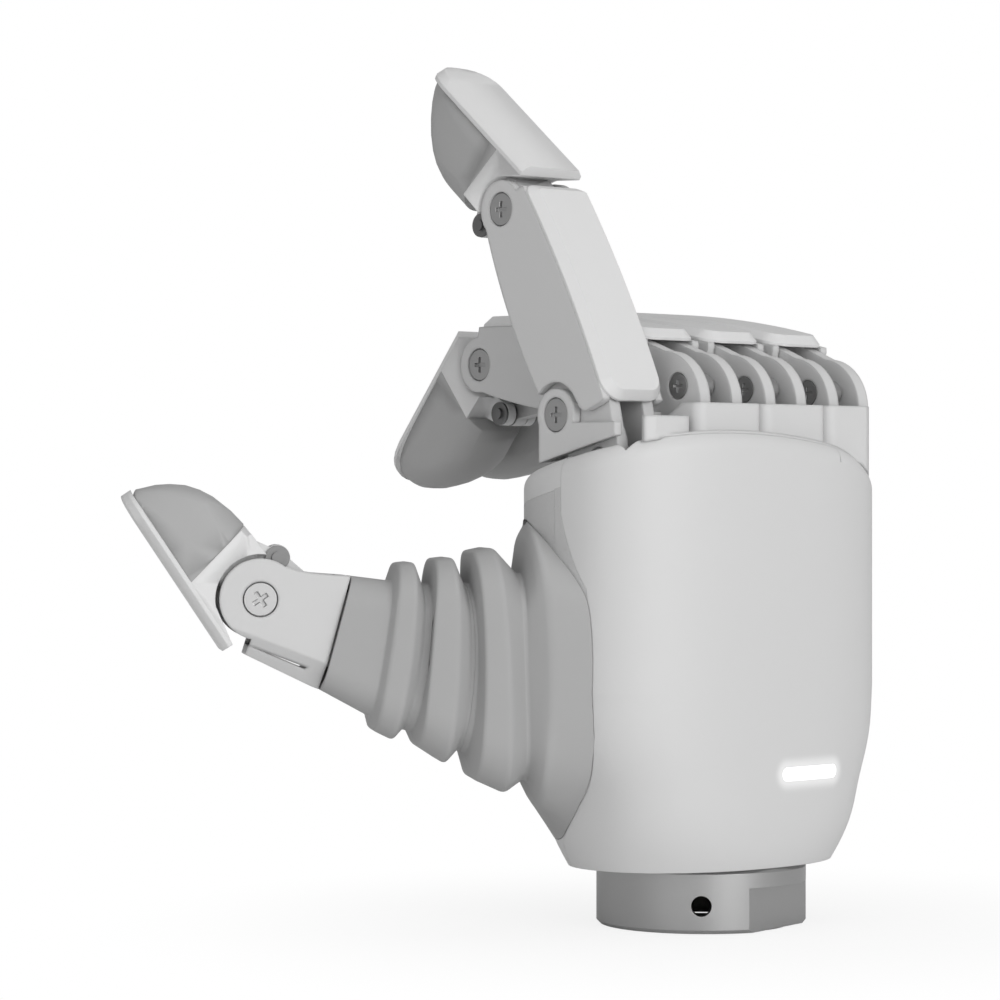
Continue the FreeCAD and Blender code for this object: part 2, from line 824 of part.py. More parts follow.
class Tip:
    """The pieces of a fingertip. Its joint is at the origin."""

    def __init__(self, gap_radius, heel, nail_y, root_z, base, pad, straight_z, tip_z, pin):
        self.pin = pin
        nail_low = nail_y + cover_thickness
        side = [
            (nail_y, root_z),
            (nail_y, tip_z * 0.7),
            ((nail_y + 0.5, tip_z * 0.85), (nail_y + 3.1, tip_z - 1.2)),
            ((-3.0, tip_z), (pad * 0.41, tip_z - 4.6)),
            ((pad * 0.88, tip_z * 0.674), (pad, tip_z * 0.35)),
            (pad, root_z),
        ]
        plan = [
            (-half, root_z),
            (half, root_z),
            (half, straight_z),
            ((0.0, tip_z), (-half, straight_z)),
        ]
        section = [
            (-half, nail_y - 1),
            (half, nail_y - 1),
            (half, 0.5),
            ((0.0, pad), (-half, 0.5)),
        ]
        envelope = slab("yz", side, -half, half).common(slab("xz", plan, -far, far))
        envelope = envelope.common(slab("xy", section, -far, far))
        g = gap_radius
        root = [
            (0.66 * g, 0.75 * g),
            ((0.0, g), heel),
            (nail_low, root_z),
            (nail_low - 5.0, root_z),
            (nail_low - 5.0, tip_z + 5),
            (nail_low, tip_z + 5),
            (nail_low, base[0]),
            (0.62 * g, base[1]),
        ]
        beyond = [
            (nail_low + 0.01, base[0]),
            (0.62 * g, base[1]),
            (pad + 1.0, base[1] + 1.8),
            (pad + 1.0, tip_z + 5),
            (nail_low + 0.01, tip_z + 5),
        ]
        core = block(-4.0, 4.0, nail_low - 0.2, 2.0, base[0] - 1.0, tip_z * 0.75)
        shell = slab("yz", root, -half, half).common(slab("xz", plan, -far, far))
        shell = shell.common(slab("yz", side, -half, half)).fuse(core)
        c = cover_chamfer
        shell = shell.common(
            slab(
                "xy",
                [
                    (-half + c, nail_y),
                    (half - c, nail_y),
                    (half, nail_y + c),
                    (half, 20.0),
                    (-half, 20.0),
                    (-half, nail_y + c),
                ],
                -far,
                far,
            )
        )
        knob = bar_x(eye_radius, -plate_outer, plate_outer, 0.0, 0.0)
        stem = block(-plate_outer, plate_outer, -eye_radius, eye_radius - 0.6, 0.0, base[0])
        py, pz = pin
        lug = bar_x(2.7, lug_inner + 0.1, 4.2, py, pz)
        web = slab("yz", [(3.8, pz - 1.6), (py, pz - 2.7), (py, pz + 2.7), (3.8, base[1] - 0.4)],
                   lug_inner + 0.1, 4.2)
        lug = lug.fuse(web)
        lug = lug.fuse(lug.mirror(Vec(0, 0, 0), Vec(1, 0, 0)))
        shell = shell.fuse([knob, stem, lug]).removeSplitter()
        shell = ring_cut(shell, pivot_pin_dia / 2 + running_gap, 0.0, 0.0)
        shell = ring_cut(shell, link_pin_dia / 2 + running_gap, py, pz)
        slot = bar_x(4.0, -lug_inner - 0.1, lug_inner + 0.1, py, pz).fuse(
            block(-lug_inner - 0.1, lug_inner + 0.1, py - 2, 30, pz - 30, pz + 2.0)
        )
        self.shell = shell.cut(slot)
        pad_shape = envelope.common(slab("yz", beyond, -half, half)).cut(core)
        self.pad_shape = pad_shape.cut(self.shell)
        clips = [bar_x(2.6, 4.25, 4.85, py, pz), bar_x(2.6, -4.85, -4.25, py, pz)]
        self.rod_pin = join([bar_x(link_pin_dia / 2, -5.5, 5.5, py, pz)] + clips)


finger_tip = Tip(7.3, (-5.2, 5.1), -11.7, -0.5, (9.2, 12.0), 9.8, 34.0, 43.0, (9.0, 6.9))

lug_plate = [
    (-4.7, 6.5),
    ((-2.0, 9.2), (0.7, 6.5)),
    (4.2, -3.5),
    (5.2, -7.2),
    (5.2, -12.0),
    (-3.4, -10.0),
    (-3.4, -3.5),
]
for name, x, z, lean, tip_lean, swing_z in fingers:
    first = name == "index"
    digit = Digit(name, Vec(x, knuckle_pivot_y, z), 0.0, lean, tip_lean, proximal_length)
    shelf = index_ear_back if first else ear_back
    down = swing_z - z
    neck_z = frame_bar_high_z + 0.9 - z
    ear = [
        (5.2, -2.08),
        ((0.0, hub_radius), (-math.sqrt(hub_radius ** 2 - ear_shelf ** 2), -ear_shelf)),
        (shelf, -ear_shelf),
        (shelf, -30.0),
        (5.2, -30.0),
    ]
    ears = pair("yz", ear, plate_outer + side_gap, half)
    ears = [one.fuse(block(-half, half, 3.2, 5.2, -30.0, -7.2)) for one in ears]
    ears = digit.upright(ears[0].fuse(ears[1])).common(above_crown(knuckle_lift))
    spine = slab(
        "yz",
        [
            (-3.4, -3.5),
            (-3.4, -10.0),
            (swing_lug_low_y - knuckle_pivot_y, neck_z),
            (swing_lug_low_y - knuckle_pivot_y, down),
            (swing_lug_high_y - knuckle_pivot_y, down),
            (swing_lug_high_y - knuckle_pivot_y, neck_z),
            (5.2, -9.0),
            (4.2, -3.5),
        ],
        -lug_outer,
        lug_outer,
    )
    lugs = pair("yz", lug_plate, lug_inner, lug_outer)
    boss = bar_y(swing_lug_radius, swing_lug_low_y, swing_lug_high_y, x, swing_z)
    knuckle = ears.fuse([digit.upright(spine), digit.upright(lugs[0]), digit.upright(lugs[1]), boss])
    knuckle = knuckle.removeSplitter()
    bore = digit.upright(bar_x(pivot_pin_dia / 2 + running_gap, -half - 1, half + 1, 0.0, 0.0))
    knuckle = knuckle.cut(bore)
    seats = [
        bar_x(pivot_head_dia / 2 + head_recess_gap, half - seat_depth, half + 3, 0.0, 0.0),
        bar_x(pivot_head_dia / 2 + head_recess_gap, -half - 3, -half + seat_depth, 0.0, 0.0),
        bar_x(link_pin_dia / 2 + running_gap, -lug_outer - 1, lug_outer + 1, *anchor_arm),
    ]
    knuckle = knuckle.cut([digit.upright(seat) for seat in seats])
    knuckle = knuckle.cut(bar_y(swing_pin_dia / 2 + running_gap, 0.0, 40.0, x, swing_z))
    save(name + "_knuckle", [knuckle])
    save(name + "_knuckle_pins", [digit.upright(pin) for pin in knuckle_stubs + [anchor_pin]])
    save(name + "_proximal_frame", [digit.proximal(frame)])
    save(name + "_proximal_cover", [digit.proximal(cover)])
    save(name + "_proximal_pins", [digit.proximal(pin) for pin in pip_pin + horn_pin])
    save(name + "_distal_shell", [digit.distal(finger_tip.shell)])
    save(name + "_fingertip_pad", [digit.distal(finger_tip.pad_shape)])
    save(name + "_rod_pin", [digit.distal(finger_tip.rod_pin)])
    tip_y, tip_z = digit.tip_pivot()
    rod_y, rod_z = turned_point(finger_tip.pin[0], finger_tip.pin[1], tip_lean)
    rod = coupling_rod(anchor_arm, (tip_y + rod_y, tip_z + rod_z), link_half_thickness)
    save(name + "_coupling_rod", [digit.upright(rod)])
    link_y, link_z = turned_point(pin_y, pin_z, lean)
    link = drive_link.copy()
    link.translate(Vec(0, link_y, link_z))
    save(name + "_drive_link", [digit.upright(link)])


# Thumb pieces

pivot_x = thumb_base_x + thumb_pivot_out * math.cos(math.radians(180 + thumb_azimuth))
pivot_y = thumb_base_y + thumb_pivot_out * math.sin(math.radians(180 + thumb_azimuth))
thumb = Digit(
    "thumb", Vec(pivot_x, pivot_y, thumb_pivot_z), thumb_yaw, thumb_lean, thumb_tip_lean, thumb_length
)
yoke_low = thumb_pivot_z - thumb_yoke_radius
yoke_high = thumb_pivot_z + thumb_yoke_radius
post = Part.makeCylinder(
    swing_post_radius, swing_post_high_z - swing_post_low_z, Vec(swing_x, swing_y, swing_post_low_z)
)
arm_plan = [
    (swing_x - 5.4, swing_y),
    (-6.0, -5.0),
    (-thumb_yoke_outer, -12.5),
    (-thumb_yoke_outer, -thumb_pivot_out + 8.4),
    (thumb_yoke_outer, -thumb_pivot_out + 8.4),
    (thumb_yoke_outer, -12.5),
    (6.0, -5.0),
    (swing_x + 5.4, swing_y),
]
arm = at_thumb(post.fuse(slab("xy", arm_plan, yoke_low + 0.6, yoke_high - 0.6)))
r = thumb_yoke_radius
cheek = [(0.0, -r), ((-r, 0.0), (0.0, r)), (10.0, r), (10.0, -r)]
anchor_y, anchor_z = thumb_anchor_arm
strut = [
    (anchor_y - 1.2, anchor_z + 2.4),
    (anchor_y + 1.0, anchor_z - 2.5),
    (9.5, anchor_z - 3.0),
    (9.5, anchor_z + 6.0),
]
yoke = [arm]
for piece in pair("yz", cheek, plate_outer + side_gap, thumb_yoke_outer):
    yoke.append(thumb.upright(piece))
for piece in pair("yz", strut, lug_inner, lug_outer):
    yoke.append(thumb.upright(piece))
for side in (lug_inner, -lug_outer):
    yoke.append(thumb.upright(bar_x(2.7, side, side + lug_outer - lug_inner, anchor_y, anchor_z)))
thumb_base = join(yoke)
bores = [
    thumb.upright(bar_x(pivot_pin_dia / 2 + running_gap, -20.0, 20.0, 0.0, 0.0)),
    thumb.upright(bar_x(link_pin_dia / 2 + running_gap, -5.0, 5.0, anchor_y, anchor_z)),
    thumb_bore,
]
thumb_base = thumb_base.cut(bores)
stubs = headed_pin(
    pivot_pin_dia, pivot_head_dia, pivot_head_height, thumb_yoke_outer + pivot_head_height + 0.05,
    0.0, 0.0, plate_inner + 0.3
)
stubs.append(bar_x(link_pin_dia / 2, -lug_outer, lug_outer, anchor_y, anchor_z))
save("thumb_base", [thumb_base] + [thumb.upright(pin) for pin in stubs])

# The thumb's proximal link: a chamfered body outside the bellows, two plates inside it
ip = thumb_length
body_side = [
    (11.3, 29.0),
    (9.2, 36.0),
    (8.4, 40.0),
    (8.3, ip - 2.3),
    ((0.0, ip + thumb_ear_radius), (-8.5, ip - 1.3)),
    (-12.0, ip - 1.3),
    (-13.4, 28.0),
    (-13.4, 26.4),
]
body_section = [
    (-3.8, -13.4),
    (3.8, -13.4),
    (half, -7.7),
    (half, 14.0),
    (-half, 14.0),
    (-half, -7.7),
]
body = slab("yz", body_side, -half, half).common(slab("xy", body_section, 0.0, 60.0))
hollow_side = [(20.0, 32.2), (-8.6, 29.2), (-10.4, 31.0), (-9.2, ip + 20), (20.0, ip + 20)]
body = body.cut(slab("yz", hollow_side, -wall_inner, wall_inner))
body = body.cut(block(-2.4, 2.4, -9.0, 20.0, 20.0, 60.0))
plate_side = [
    (5.0, -3.3),
    (5.6, 2.0),
    (6.2, 20.0),
    (8.5, 30.5),
    (-8.5, 29.0),
    (-7.5, 18.0),
    (-5.8, 1.5),
    ((-4.2, -4.3), (0.0, -6.0)),
]
thumb_proximal = join([body] + pair("yz", plate_side, plate_inner, plate_outer))
thumb_proximal = ring_cut(thumb_proximal, pivot_pin_dia / 2 + running_gap, 0.0, 0.0)
thumb_proximal = ring_cut(thumb_proximal, pivot_pin_dia / 2 + running_gap, 0.0, ip)
thumb_proximal = head_seats(thumb_proximal, half, 0.0, ip, pivot_head_dia, seat_depth)
save("thumb_proximal", [thumb.proximal(thumb_proximal)])
ip_pin = headed_pin(pivot_pin_dia, pivot_head_dia, pivot_head_height, half - head_sink, 0.0, ip)
save("thumb_joint_pin", [thumb.proximal(pin) for pin in ip_pin])

thumb_tip = Tip(9.5, (-8.6, 4.0), -12.5, -4.7, (11.0, 14.6), 6.3, 25.4, 34.2, (8.05, 5.1))
save("thumb_distal_shell", [thumb.distal(thumb_tip.shell)])
save("thumb_pad", [thumb.distal(thumb_tip.pad_shape)])
save("thumb_rod_pin", [thumb.distal(thumb_tip.rod_pin)])
tip_y, tip_z = thumb.tip_pivot()
rod_y, rod_z = turned_point(thumb_tip.pin[0], thumb_tip.pin[1], thumb_tip_lean)
thumb_rod = coupling_rod(thumb_anchor_arm, (tip_y + rod_y, tip_z + rod_z), link_half_thickness)
save("thumb_coupling_rod", [thumb.upright(thumb_rod)])


# Bellows round the thumb's root: rows of outer top point, outer bottom point and half width,
# with the points given outwards and up


def boot_wire(row, inset):
    """A rounded rectangle in a plane that contains the thumb's flexion axis."""
    (top_s, top_z), (low_s, low_z), width = row
    mid = Vec(0, -(top_s + low_s) / 2, (top_z + low_z) / 2)
    up = Vec(0, -(top_s - low_s), top_z - low_z)
    h = up.Length / 2 - inset
    up.normalize()
    w = width - inset
    r = boot_corner - inset
    a = Vec(1, 0, 0)
    k = r * 0.293
    ring = []
    corners = [
        (-w + r, -h),
        (w - r, -h),
        ((w - k, -h + k), (w, -h + r)),
        (w, h - r),
        ((w - k, h - k), (w - r, h)),
        (-w + r, h),
        ((-w + k, h - k), (-w, h - r)),
        (-w, -h + r),
        ((-w + k, -h + k), (-w + r, -h)),
    ]

    def place(point):
        return mid + a * point[0] + up * point[1]

    here = place(corners[0])
    for step in corners[1:]:
        if isinstance(step[0], tuple):
            end = place(step[1])
            ring.append(Part.Arc(here, place(step[0]), end).toShape())
        else:
            end = place(step)
            ring.append(Part.makeLine(here, end))
        here = end
    return Part.Wire(ring)


def boot(rows, wall):
    outer = Part.makeLoft([boot_wire(row, 0.0) for row in rows], True, True)
    if wall == 0:
        return outer
    return outer.cut(Part.makeLoft([boot_wire(row, wall) for row in rows], True, True))


outer_rows = [
    ((44.8, 76.7), (51.3, 52.6), 10.4),
    ((36.6, 75.4), (40.2, 48.5), 11.0),
    ((34.6, 79.2), (39.8, 43.4), 13.3),
    ((31.4, 79.4), (35.7, 41.8), 13.8),
    ((29.5, 74.3), (32.7, 43.8), 12.0),
    ((26.5, 80.2), (27.5, 37.2), 15.0),
    ((23.2, 80.4), (23.4, 38.0), 15.5),
    ((20.5, 75.0), (22.0, 39.9), 13.6),
]
inner_rows = [
    ((20.0, 74.6), (21.5, 40.0), 13.6),
    ((18.6, 82.0), (18.6, 33.3), 17.5),
    ((14.6, 82.6), (11.6, 30.5), 18.0),
    ((9.4, 78.2), (8.3, 32.8), 16.2),
]
skirt_rows = [
    ((9.0, 78.2), (7.9, 32.6), 16.2),
    ((8.0, 84.9), (5.5, 28.5), 18.6),
    ((6.4, 88.0), (0.0, 24.5), 19.5),
    ((0.0, 92.0), (-6.0, 20.5), 19.8),
    ((-10.0, 92.0), (-14.0, 20.5), 19.8),
]
save("boot_outer", [at_thumb(boot(outer_rows, boot_wall))])
save("boot_inner", [at_thumb(boot(inner_rows, boot_wall))])
skirt = at_thumb(boot(skirt_rows, 0)).cut(casing).cut(port(port_half_width, port_low_z, port_high_z))
save("boot_skirt", [max(skirt.Solids, key=lambda solid: solid.Volume)])
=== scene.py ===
# %% [markdown]
# # A dexterous robot hand
# The hand is an assembly of moulded shells, linkage-driven fingers and one big silicone bellows
# round the thumb. Its solids come from CAD, already in place and on their joints. This lesson
# gives them their finishes, adds the soft bellows, smooth fingertips, screw heads with cross
# recesses and the glow of the status light, and sets up a plain studio round the hand.

# %% Load the frame
import json
import math

import bmesh
import bpy
from mathutils import Matrix, Vector

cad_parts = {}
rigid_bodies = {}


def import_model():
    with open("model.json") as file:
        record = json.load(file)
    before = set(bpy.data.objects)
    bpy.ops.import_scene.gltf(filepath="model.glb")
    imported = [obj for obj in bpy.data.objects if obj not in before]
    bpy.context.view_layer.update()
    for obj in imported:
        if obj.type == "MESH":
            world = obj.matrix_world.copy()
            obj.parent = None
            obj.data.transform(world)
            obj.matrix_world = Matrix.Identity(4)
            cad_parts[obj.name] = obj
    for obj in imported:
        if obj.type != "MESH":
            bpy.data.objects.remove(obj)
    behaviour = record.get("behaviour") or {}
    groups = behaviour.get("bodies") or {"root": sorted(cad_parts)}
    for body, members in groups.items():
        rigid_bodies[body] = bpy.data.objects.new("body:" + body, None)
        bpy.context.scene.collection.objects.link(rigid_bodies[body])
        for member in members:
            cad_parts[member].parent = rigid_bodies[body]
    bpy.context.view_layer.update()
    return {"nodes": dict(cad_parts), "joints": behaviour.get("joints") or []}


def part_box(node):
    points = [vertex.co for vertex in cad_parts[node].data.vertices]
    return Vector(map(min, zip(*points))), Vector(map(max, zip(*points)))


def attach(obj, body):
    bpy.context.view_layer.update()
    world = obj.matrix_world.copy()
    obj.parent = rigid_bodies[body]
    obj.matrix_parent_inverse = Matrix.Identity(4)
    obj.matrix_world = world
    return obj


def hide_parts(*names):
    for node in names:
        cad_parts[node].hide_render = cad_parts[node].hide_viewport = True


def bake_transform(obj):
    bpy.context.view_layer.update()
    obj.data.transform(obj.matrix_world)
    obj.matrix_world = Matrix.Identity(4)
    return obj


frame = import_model()
nodes = frame["nodes"]
joints = {joint["name"]: joint for joint in frame["joints"]}
# sizes are in millimetres, unless a name ends in _m or _M, and MM turns them into metres
MM = 0.001
FINGERS = ["index", "middle", "ring", "little"]

# %% [markdown]
# ## Finishes
# A maker names a finish by its material and by how its surface was made. Each one here is a
# Principled BSDF whose roughness and grain come from that. Colours are written as sRGB hex, the
# way they look on a screen, and one function turns them into the linear values that Cycles
# mixes. Moulded edges are never sharp, so the Bevel shader rounds them by a fraction of a
# millimetre for the light alone, and the CAD shape stays as it is.

# %% Helpers for colours and nodes
MOULDED_IOR = 1.46


def linear(hex_colour):
    """An sRGB hex colour as linear RGBA."""
    parts = []
    for i in (0, 2, 4):
        c = int(hex_colour[i : i + 2], 16) / 255
        parts.append(c / 12.92 if c <= 0.04045 else ((c + 0.055) / 1.055) ** 2.4)
    return (*parts, 1.0)


def add(tree, kind, inputs=None, **settings):
    """Adds a node. An input is a value, or a socket or a node (its first output) to link from."""
    made = tree.nodes.new(kind)
    for name, value in settings.items():
        setattr(made, name, value)
    for key, value in (inputs or {}).items():
        if isinstance(value, bpy.types.Node):
            value = value.outputs[0]
        if isinstance(value, bpy.types.NodeSocket):
            tree.links.new(value, made.inputs[key])
        else:
            made.inputs[key].default_value = value
    return made


def new_material(name):
    """An empty material and its node tree."""
    material = bpy.data.materials.new(name)
    material.use_nodes = True
    material.node_tree.nodes.clear()
    return material, material.node_tree


def moulded_shader(tree, colour, roughness, grain_mm, grain_height_mm, edge_mm, specular=0.5):
    """A moulded plastic or rubber: even colour, fine grain, edges rounded for the light."""
    place = add(tree, "ShaderNodeTexCoord").outputs["Object"]
    pattern = {"Vector": place, "Scale": 1 / (grain_mm * MM), "Detail": 2.0, "Roughness": 0.6}
    grain = add(tree, "ShaderNodeTexNoise", pattern)
    rounded = add(tree, "ShaderNodeBevel", {"Radius": edge_mm * MM}, samples=4)
    relief = {"Strength": 1.0, "Distance": grain_height_mm * MM, "Height": grain, "Normal": rounded}
    bump = add(tree, "ShaderNodeBump", relief)
    surface = {
        "Base Color": linear(colour),
        "Roughness": roughness,
        "IOR": MOULDED_IOR,
        "Specular IOR Level": specular,
        "Normal": bump,
    }
    return add(tree, "ShaderNodeBsdfPrincipled", surface)


def moulded(name, *finish):
    """A material of one moulded finish."""
    material, tree = new_material(name)
    add(tree, "ShaderNodeOutputMaterial", {"Surface": moulded_shader(tree, *finish)})
    return material


# %% [markdown]
# ### Plastics and rubbers
# The shells are matt ABS, moulded against a finely eroded tool, so the sheen is broad and soft.
# The links are glass-filled nylon, a touch darker. The palm's skin is silicone with a leather
# grain: its grain is drawn at 0.7 mm, coarser than the real 0.3 mm, so that it shows at this
# distance. The finger pads are a smooth silicone, and the bellows is moulded from the same.

# %% Make the plastics and rubbers
# colour, roughness, grain width, grain height and edge radius in mm, specular level
abs_finish = ("D0D0D0", 0.48, 0.8, 0.004, 0.35)
skin_finish = ("C0C0C0", 0.7, 0.7, 0.09, 0.3, 0.35)
cover_abs = moulded("Matt ABS finger cover", "DADADA", 0.45, 0.8, 0.004, 0.3)
link_nylon = moulded("Glass-filled nylon link", "CCCCCC", 0.5, 0.6, 0.004, 0.9)
deck_nylon = moulded("Nylon deck", "D0D0D0", 0.55, 0.6, 0.004, 1.2)
grained_silicone = moulded("Grained silicone skin", *skin_finish)
pad_silicone = moulded("Smooth silicone pad", "ACACAC", 0.62, 0.5, 0.008, 0.5, 0.35)
bellows_silicone = moulded("Moulded silicone bellows", "A8A8A8", 0.66, 0.6, 0.012, 0.3, 0.35)
print("plastics and rubbers ready")

# %% [markdown]
# ### The cover
# The skin is moulded onto the palm cover, and a band of it runs on to the back shell's seam. The
# band could be a thin piece of its own, but it lies flush with the cover. So the cover's own
# material shows it: it changes to the skin's finish in front of the skin's edge, below the
# crown's slope.

# %% Make the cover with its band of skin
BAND_FRONT, BAND_LOW = 1.05, 30.0
CROWN_SLOPE = 0.24
THUMB_SIDE, FAR_SIDE = -42.0, 36.0
BAND_TOP_THUMB_SIDE, BAND_TOP_FAR_SIDE = 95.4, 89.6

cover_skinned, tree = new_material("Matt ABS with a band of silicone skin")
place = add(tree, "ShaderNodeTexCoord").outputs["Object"]
axes = add(tree, "ShaderNodeSeparateXYZ", {"Vector": place}).outputs
crown = {0: axes["Y"], 1: CROWN_SLOPE, 2: axes["Z"]}
sloped = add(tree, "ShaderNodeMath", crown, operation="MULTIPLY_ADD")
top_line = {
    "Value": axes["X"],
    "From Min": THUMB_SIDE * MM,
    "From Max": FAR_SIDE * MM,
    "To Min": BAND_TOP_THUMB_SIDE * MM,
    "To Max": BAND_TOP_FAR_SIDE * MM,
}
top = add(tree, "ShaderNodeMapRange", top_line)
below_top = add(tree, "ShaderNodeMath", {0: sloped, 1: top}, operation="LESS_THAN")
in_front = add(tree, "ShaderNodeMath", {0: axes["Y"], 1: BAND_FRONT * MM}, operation="LESS_THAN")
above = add(tree, "ShaderNodeMath", {0: axes["Z"], 1: BAND_LOW * MM}, operation="GREATER_THAN")
band = add(tree, "ShaderNodeMath", {0: below_top, 1: in_front}, operation="MULTIPLY")
band = add(tree, "ShaderNodeMath", {0: band, 1: above}, operation="MULTIPLY")
plain = moulded_shader(tree, *abs_finish)
skinned = moulded_shader(tree, *skin_finish)
both = add(tree, "ShaderNodeMixShader", {0: band, 1: plain, 2: skinned})
add(tree, "ShaderNodeOutputMaterial", {"Surface": both})
print("cover with a band of skin ready")

# %% [markdown]
# ### Metals
# The wrist ring is turned aluminium. Turning leaves fine grooves that run round the ring, so a
# highlight spreads along the axis into soft vertical bands. Anisotropic roughness does that. The
# screws are stainless steel, and the clips on the rod pins are phosphated steel, which is darker.

# %% Make the metals


def metal(name, colour, roughness, anisotropy, edge_mm):
    """A machined metal. Anisotropy stretches its highlights across the tool's grooves."""
    material, tree = new_material(name)
    rounded = add(tree, "ShaderNodeBevel", {"Radius": edge_mm * MM}, samples=4)
    tangent = add(tree, "ShaderNodeTangent", direction_type="RADIAL", axis="Z")
    surface = {
        "Base Color": linear(colour),
        "Metallic": 1.0,
        "Roughness": roughness,
        "Anisotropic": anisotropy,
        "Tangent": tangent,
        "Normal": rounded,
    }
    shader = add(tree, "ShaderNodeBsdfPrincipled", surface)
    add(tree, "ShaderNodeOutputMaterial", {"Surface": shader})
    return material


turned_aluminium = metal("Turned aluminium", "B0B0B0", 0.36, 0.5, 0.15)
stainless = metal("Stainless steel screw", "B6B6B6", 0.42, 0.0, 0.06)
frame_aluminium = metal("Machined aluminium frame", "9C9C9C", 0.42, 0.0, 0.15)
black_steel = metal("Phosphated steel clip", "808080", 0.42, 0.0, 0.05)
print("metals ready")

# %% [markdown]
# ### The status light and its halo
# A light guide glows white through a slot in the back shell. On the real hand some of its light
# spreads over the plastic beside it. A lamp behind the slot would take many samples to render
# without noise, so the shell's own material gives off a little light near the slot instead. It
# falls off with the distance from the bar's middle line, and the halo stays put from every side.

# %% Make the light and the shell with its halo
WHITE = (1.0, 1.0, 1.0, 1.0)
LIGHT_STRENGTH = 1.6
BAR_END_RADIUS = 1.5
HALO_START, HALO_END, HALO_DEPTH = 1.3, 4.5, 8.0
HALO_STRENGTH = 0.22

light_low, light_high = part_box("light_bar")
light_centre = (Vector(light_low) + Vector(light_high)) / 2
light_reach = (light_high[0] - light_low[0]) / 2

light_guide, tree = new_material("Lit acrylic light guide")
lit = add(tree, "ShaderNodeEmission", {"Color": WHITE, "Strength": LIGHT_STRENGTH})
add(tree, "ShaderNodeOutputMaterial", {"Surface": lit})

shell_lit, tree = new_material("Matt moulded ABS beside the light")
place = add(tree, "ShaderNodeTexCoord").outputs["Object"]
centred = {"Vector": place, "Location": -light_centre}
from_bar = add(tree, "ShaderNodeMapping", centred, vector_type="POINT")
axes = add(tree, "ShaderNodeSeparateXYZ", {"Vector": from_bar}).outputs
along = add(tree, "ShaderNodeMath", {0: axes["X"]}, operation="ABSOLUTE")
straight = light_reach - BAR_END_RADIUS * MM
past = add(tree, "ShaderNodeMath", {0: along, 1: straight}, operation="SUBTRACT")
past = add(tree, "ShaderNodeMath", {0: past, 1: 0.0}, operation="MAXIMUM")
offset = add(tree, "ShaderNodeCombineXYZ", {"X": past, "Z": axes["Z"]})
distance = add(tree, "ShaderNodeVectorMath", {0: offset}, operation="LENGTH")
fading = {
    "Value": distance.outputs["Value"],
    "From Min": HALO_START * MM,
    "From Max": HALO_END * MM,
    "To Min": HALO_STRENGTH,
    "To Max": 0.0,
}
halo = add(tree, "ShaderNodeMapRange", fading, interpolation_type="SMOOTHERSTEP")
outside = add(tree, "ShaderNodeMath", {0: axes["Y"], 1: HALO_DEPTH * MM}, operation="LESS_THAN")
glow = add(tree, "ShaderNodeMath", {0: halo, 1: outside}, operation="MULTIPLY")
shader = moulded_shader(tree, *abs_finish)
shader.inputs["Emission Color"].default_value = WHITE
tree.links.new(glow.outputs[0], shader.inputs["Emission Strength"])
add(tree, "ShaderNodeOutputMaterial", {"Surface": shader})
print("status light at", [round(v / MM, 1) for v in light_centre], "mm")

# %% [markdown]
# ## Dressing the CAD nodes
# Each node gets its finish by what the piece is, and most nodes keep their CAD mesh. The pins and
# the bellows have new pieces further on, and the fingertips are cut to a smooth form.

# %% Give each node its material
by_piece = {
    "wrist_flange": turned_aluminium,
    "wrist_screws": stainless,
    "palm_chassis": frame_aluminium,
    "swing_pins": stainless,
    "dorsal_shell": shell_lit,
    "palm_cover": cover_skinned,
    "palm_skin": grained_silicone,
    "knuckle_cap": deck_nylon,
    "light_bar": light_guide,
    "actuators": frame_aluminium,
    "thumb_base": frame_aluminium,
    "thumb_proximal": link_nylon,
    "thumb_pad": pad_silicone,
}
by_ending = {
    "_knuckle": link_nylon,
    "_proximal_frame": link_nylon,
    "_proximal_cover": cover_abs,
    "_coupling_rod": stainless,
    "_drive_link": stainless,
    "_distal_shell": cover_abs,
    "_fingertip_pad": pad_silicone,
    "_rod_pin": black_steel,
}
dressed = 0
for name, piece in nodes.items():
    choices = [by_piece[name]] if name in by_piece else []
    choices += [material for ending, material in by_ending.items() if name.endswith(ending)]
    if choices:
        piece.data.materials.clear()
        piece.data.materials.append(choices[0])
        dressed += 1
print(dressed, "nodes have their finish")

# %% [markdown]
# ## The screws
# Each pivot is a pin with a flat steel head at both ends, and each head has a cross recess for
# the driver. They could be modelled one by one, but they are all alike but for their sizes, which
# is work for Geometry Nodes: a point with a direction stands for one head and its half of the
# pin, and the tree puts the same head and shank on every point. A head is a disc, less the two
# bars of its cross.

# %% Draw a head and a shank in the screw tree
HEAD_SIDES, SHANK_SIDES = 40, 24


def new_tree(name, fields):
    """A Geometry Nodes tree with a geometry input and named number inputs."""
    tree = bpy.data.node_groups.new(name, "GeometryNodeTree")
    tree.interface.new_socket("Geometry", in_out="INPUT", socket_type="NodeSocketGeometry")
    for field in fields:
        tree.interface.new_socket(field, in_out="INPUT", socket_type="NodeSocketFloat")
    tree.interface.new_socket("Material", in_out="INPUT", socket_type="NodeSocketMaterial")
    tree.interface.new_socket("Geometry", in_out="OUTPUT", socket_type="NodeSocketGeometry")
    return tree, add(tree, "NodeGroupInput").outputs


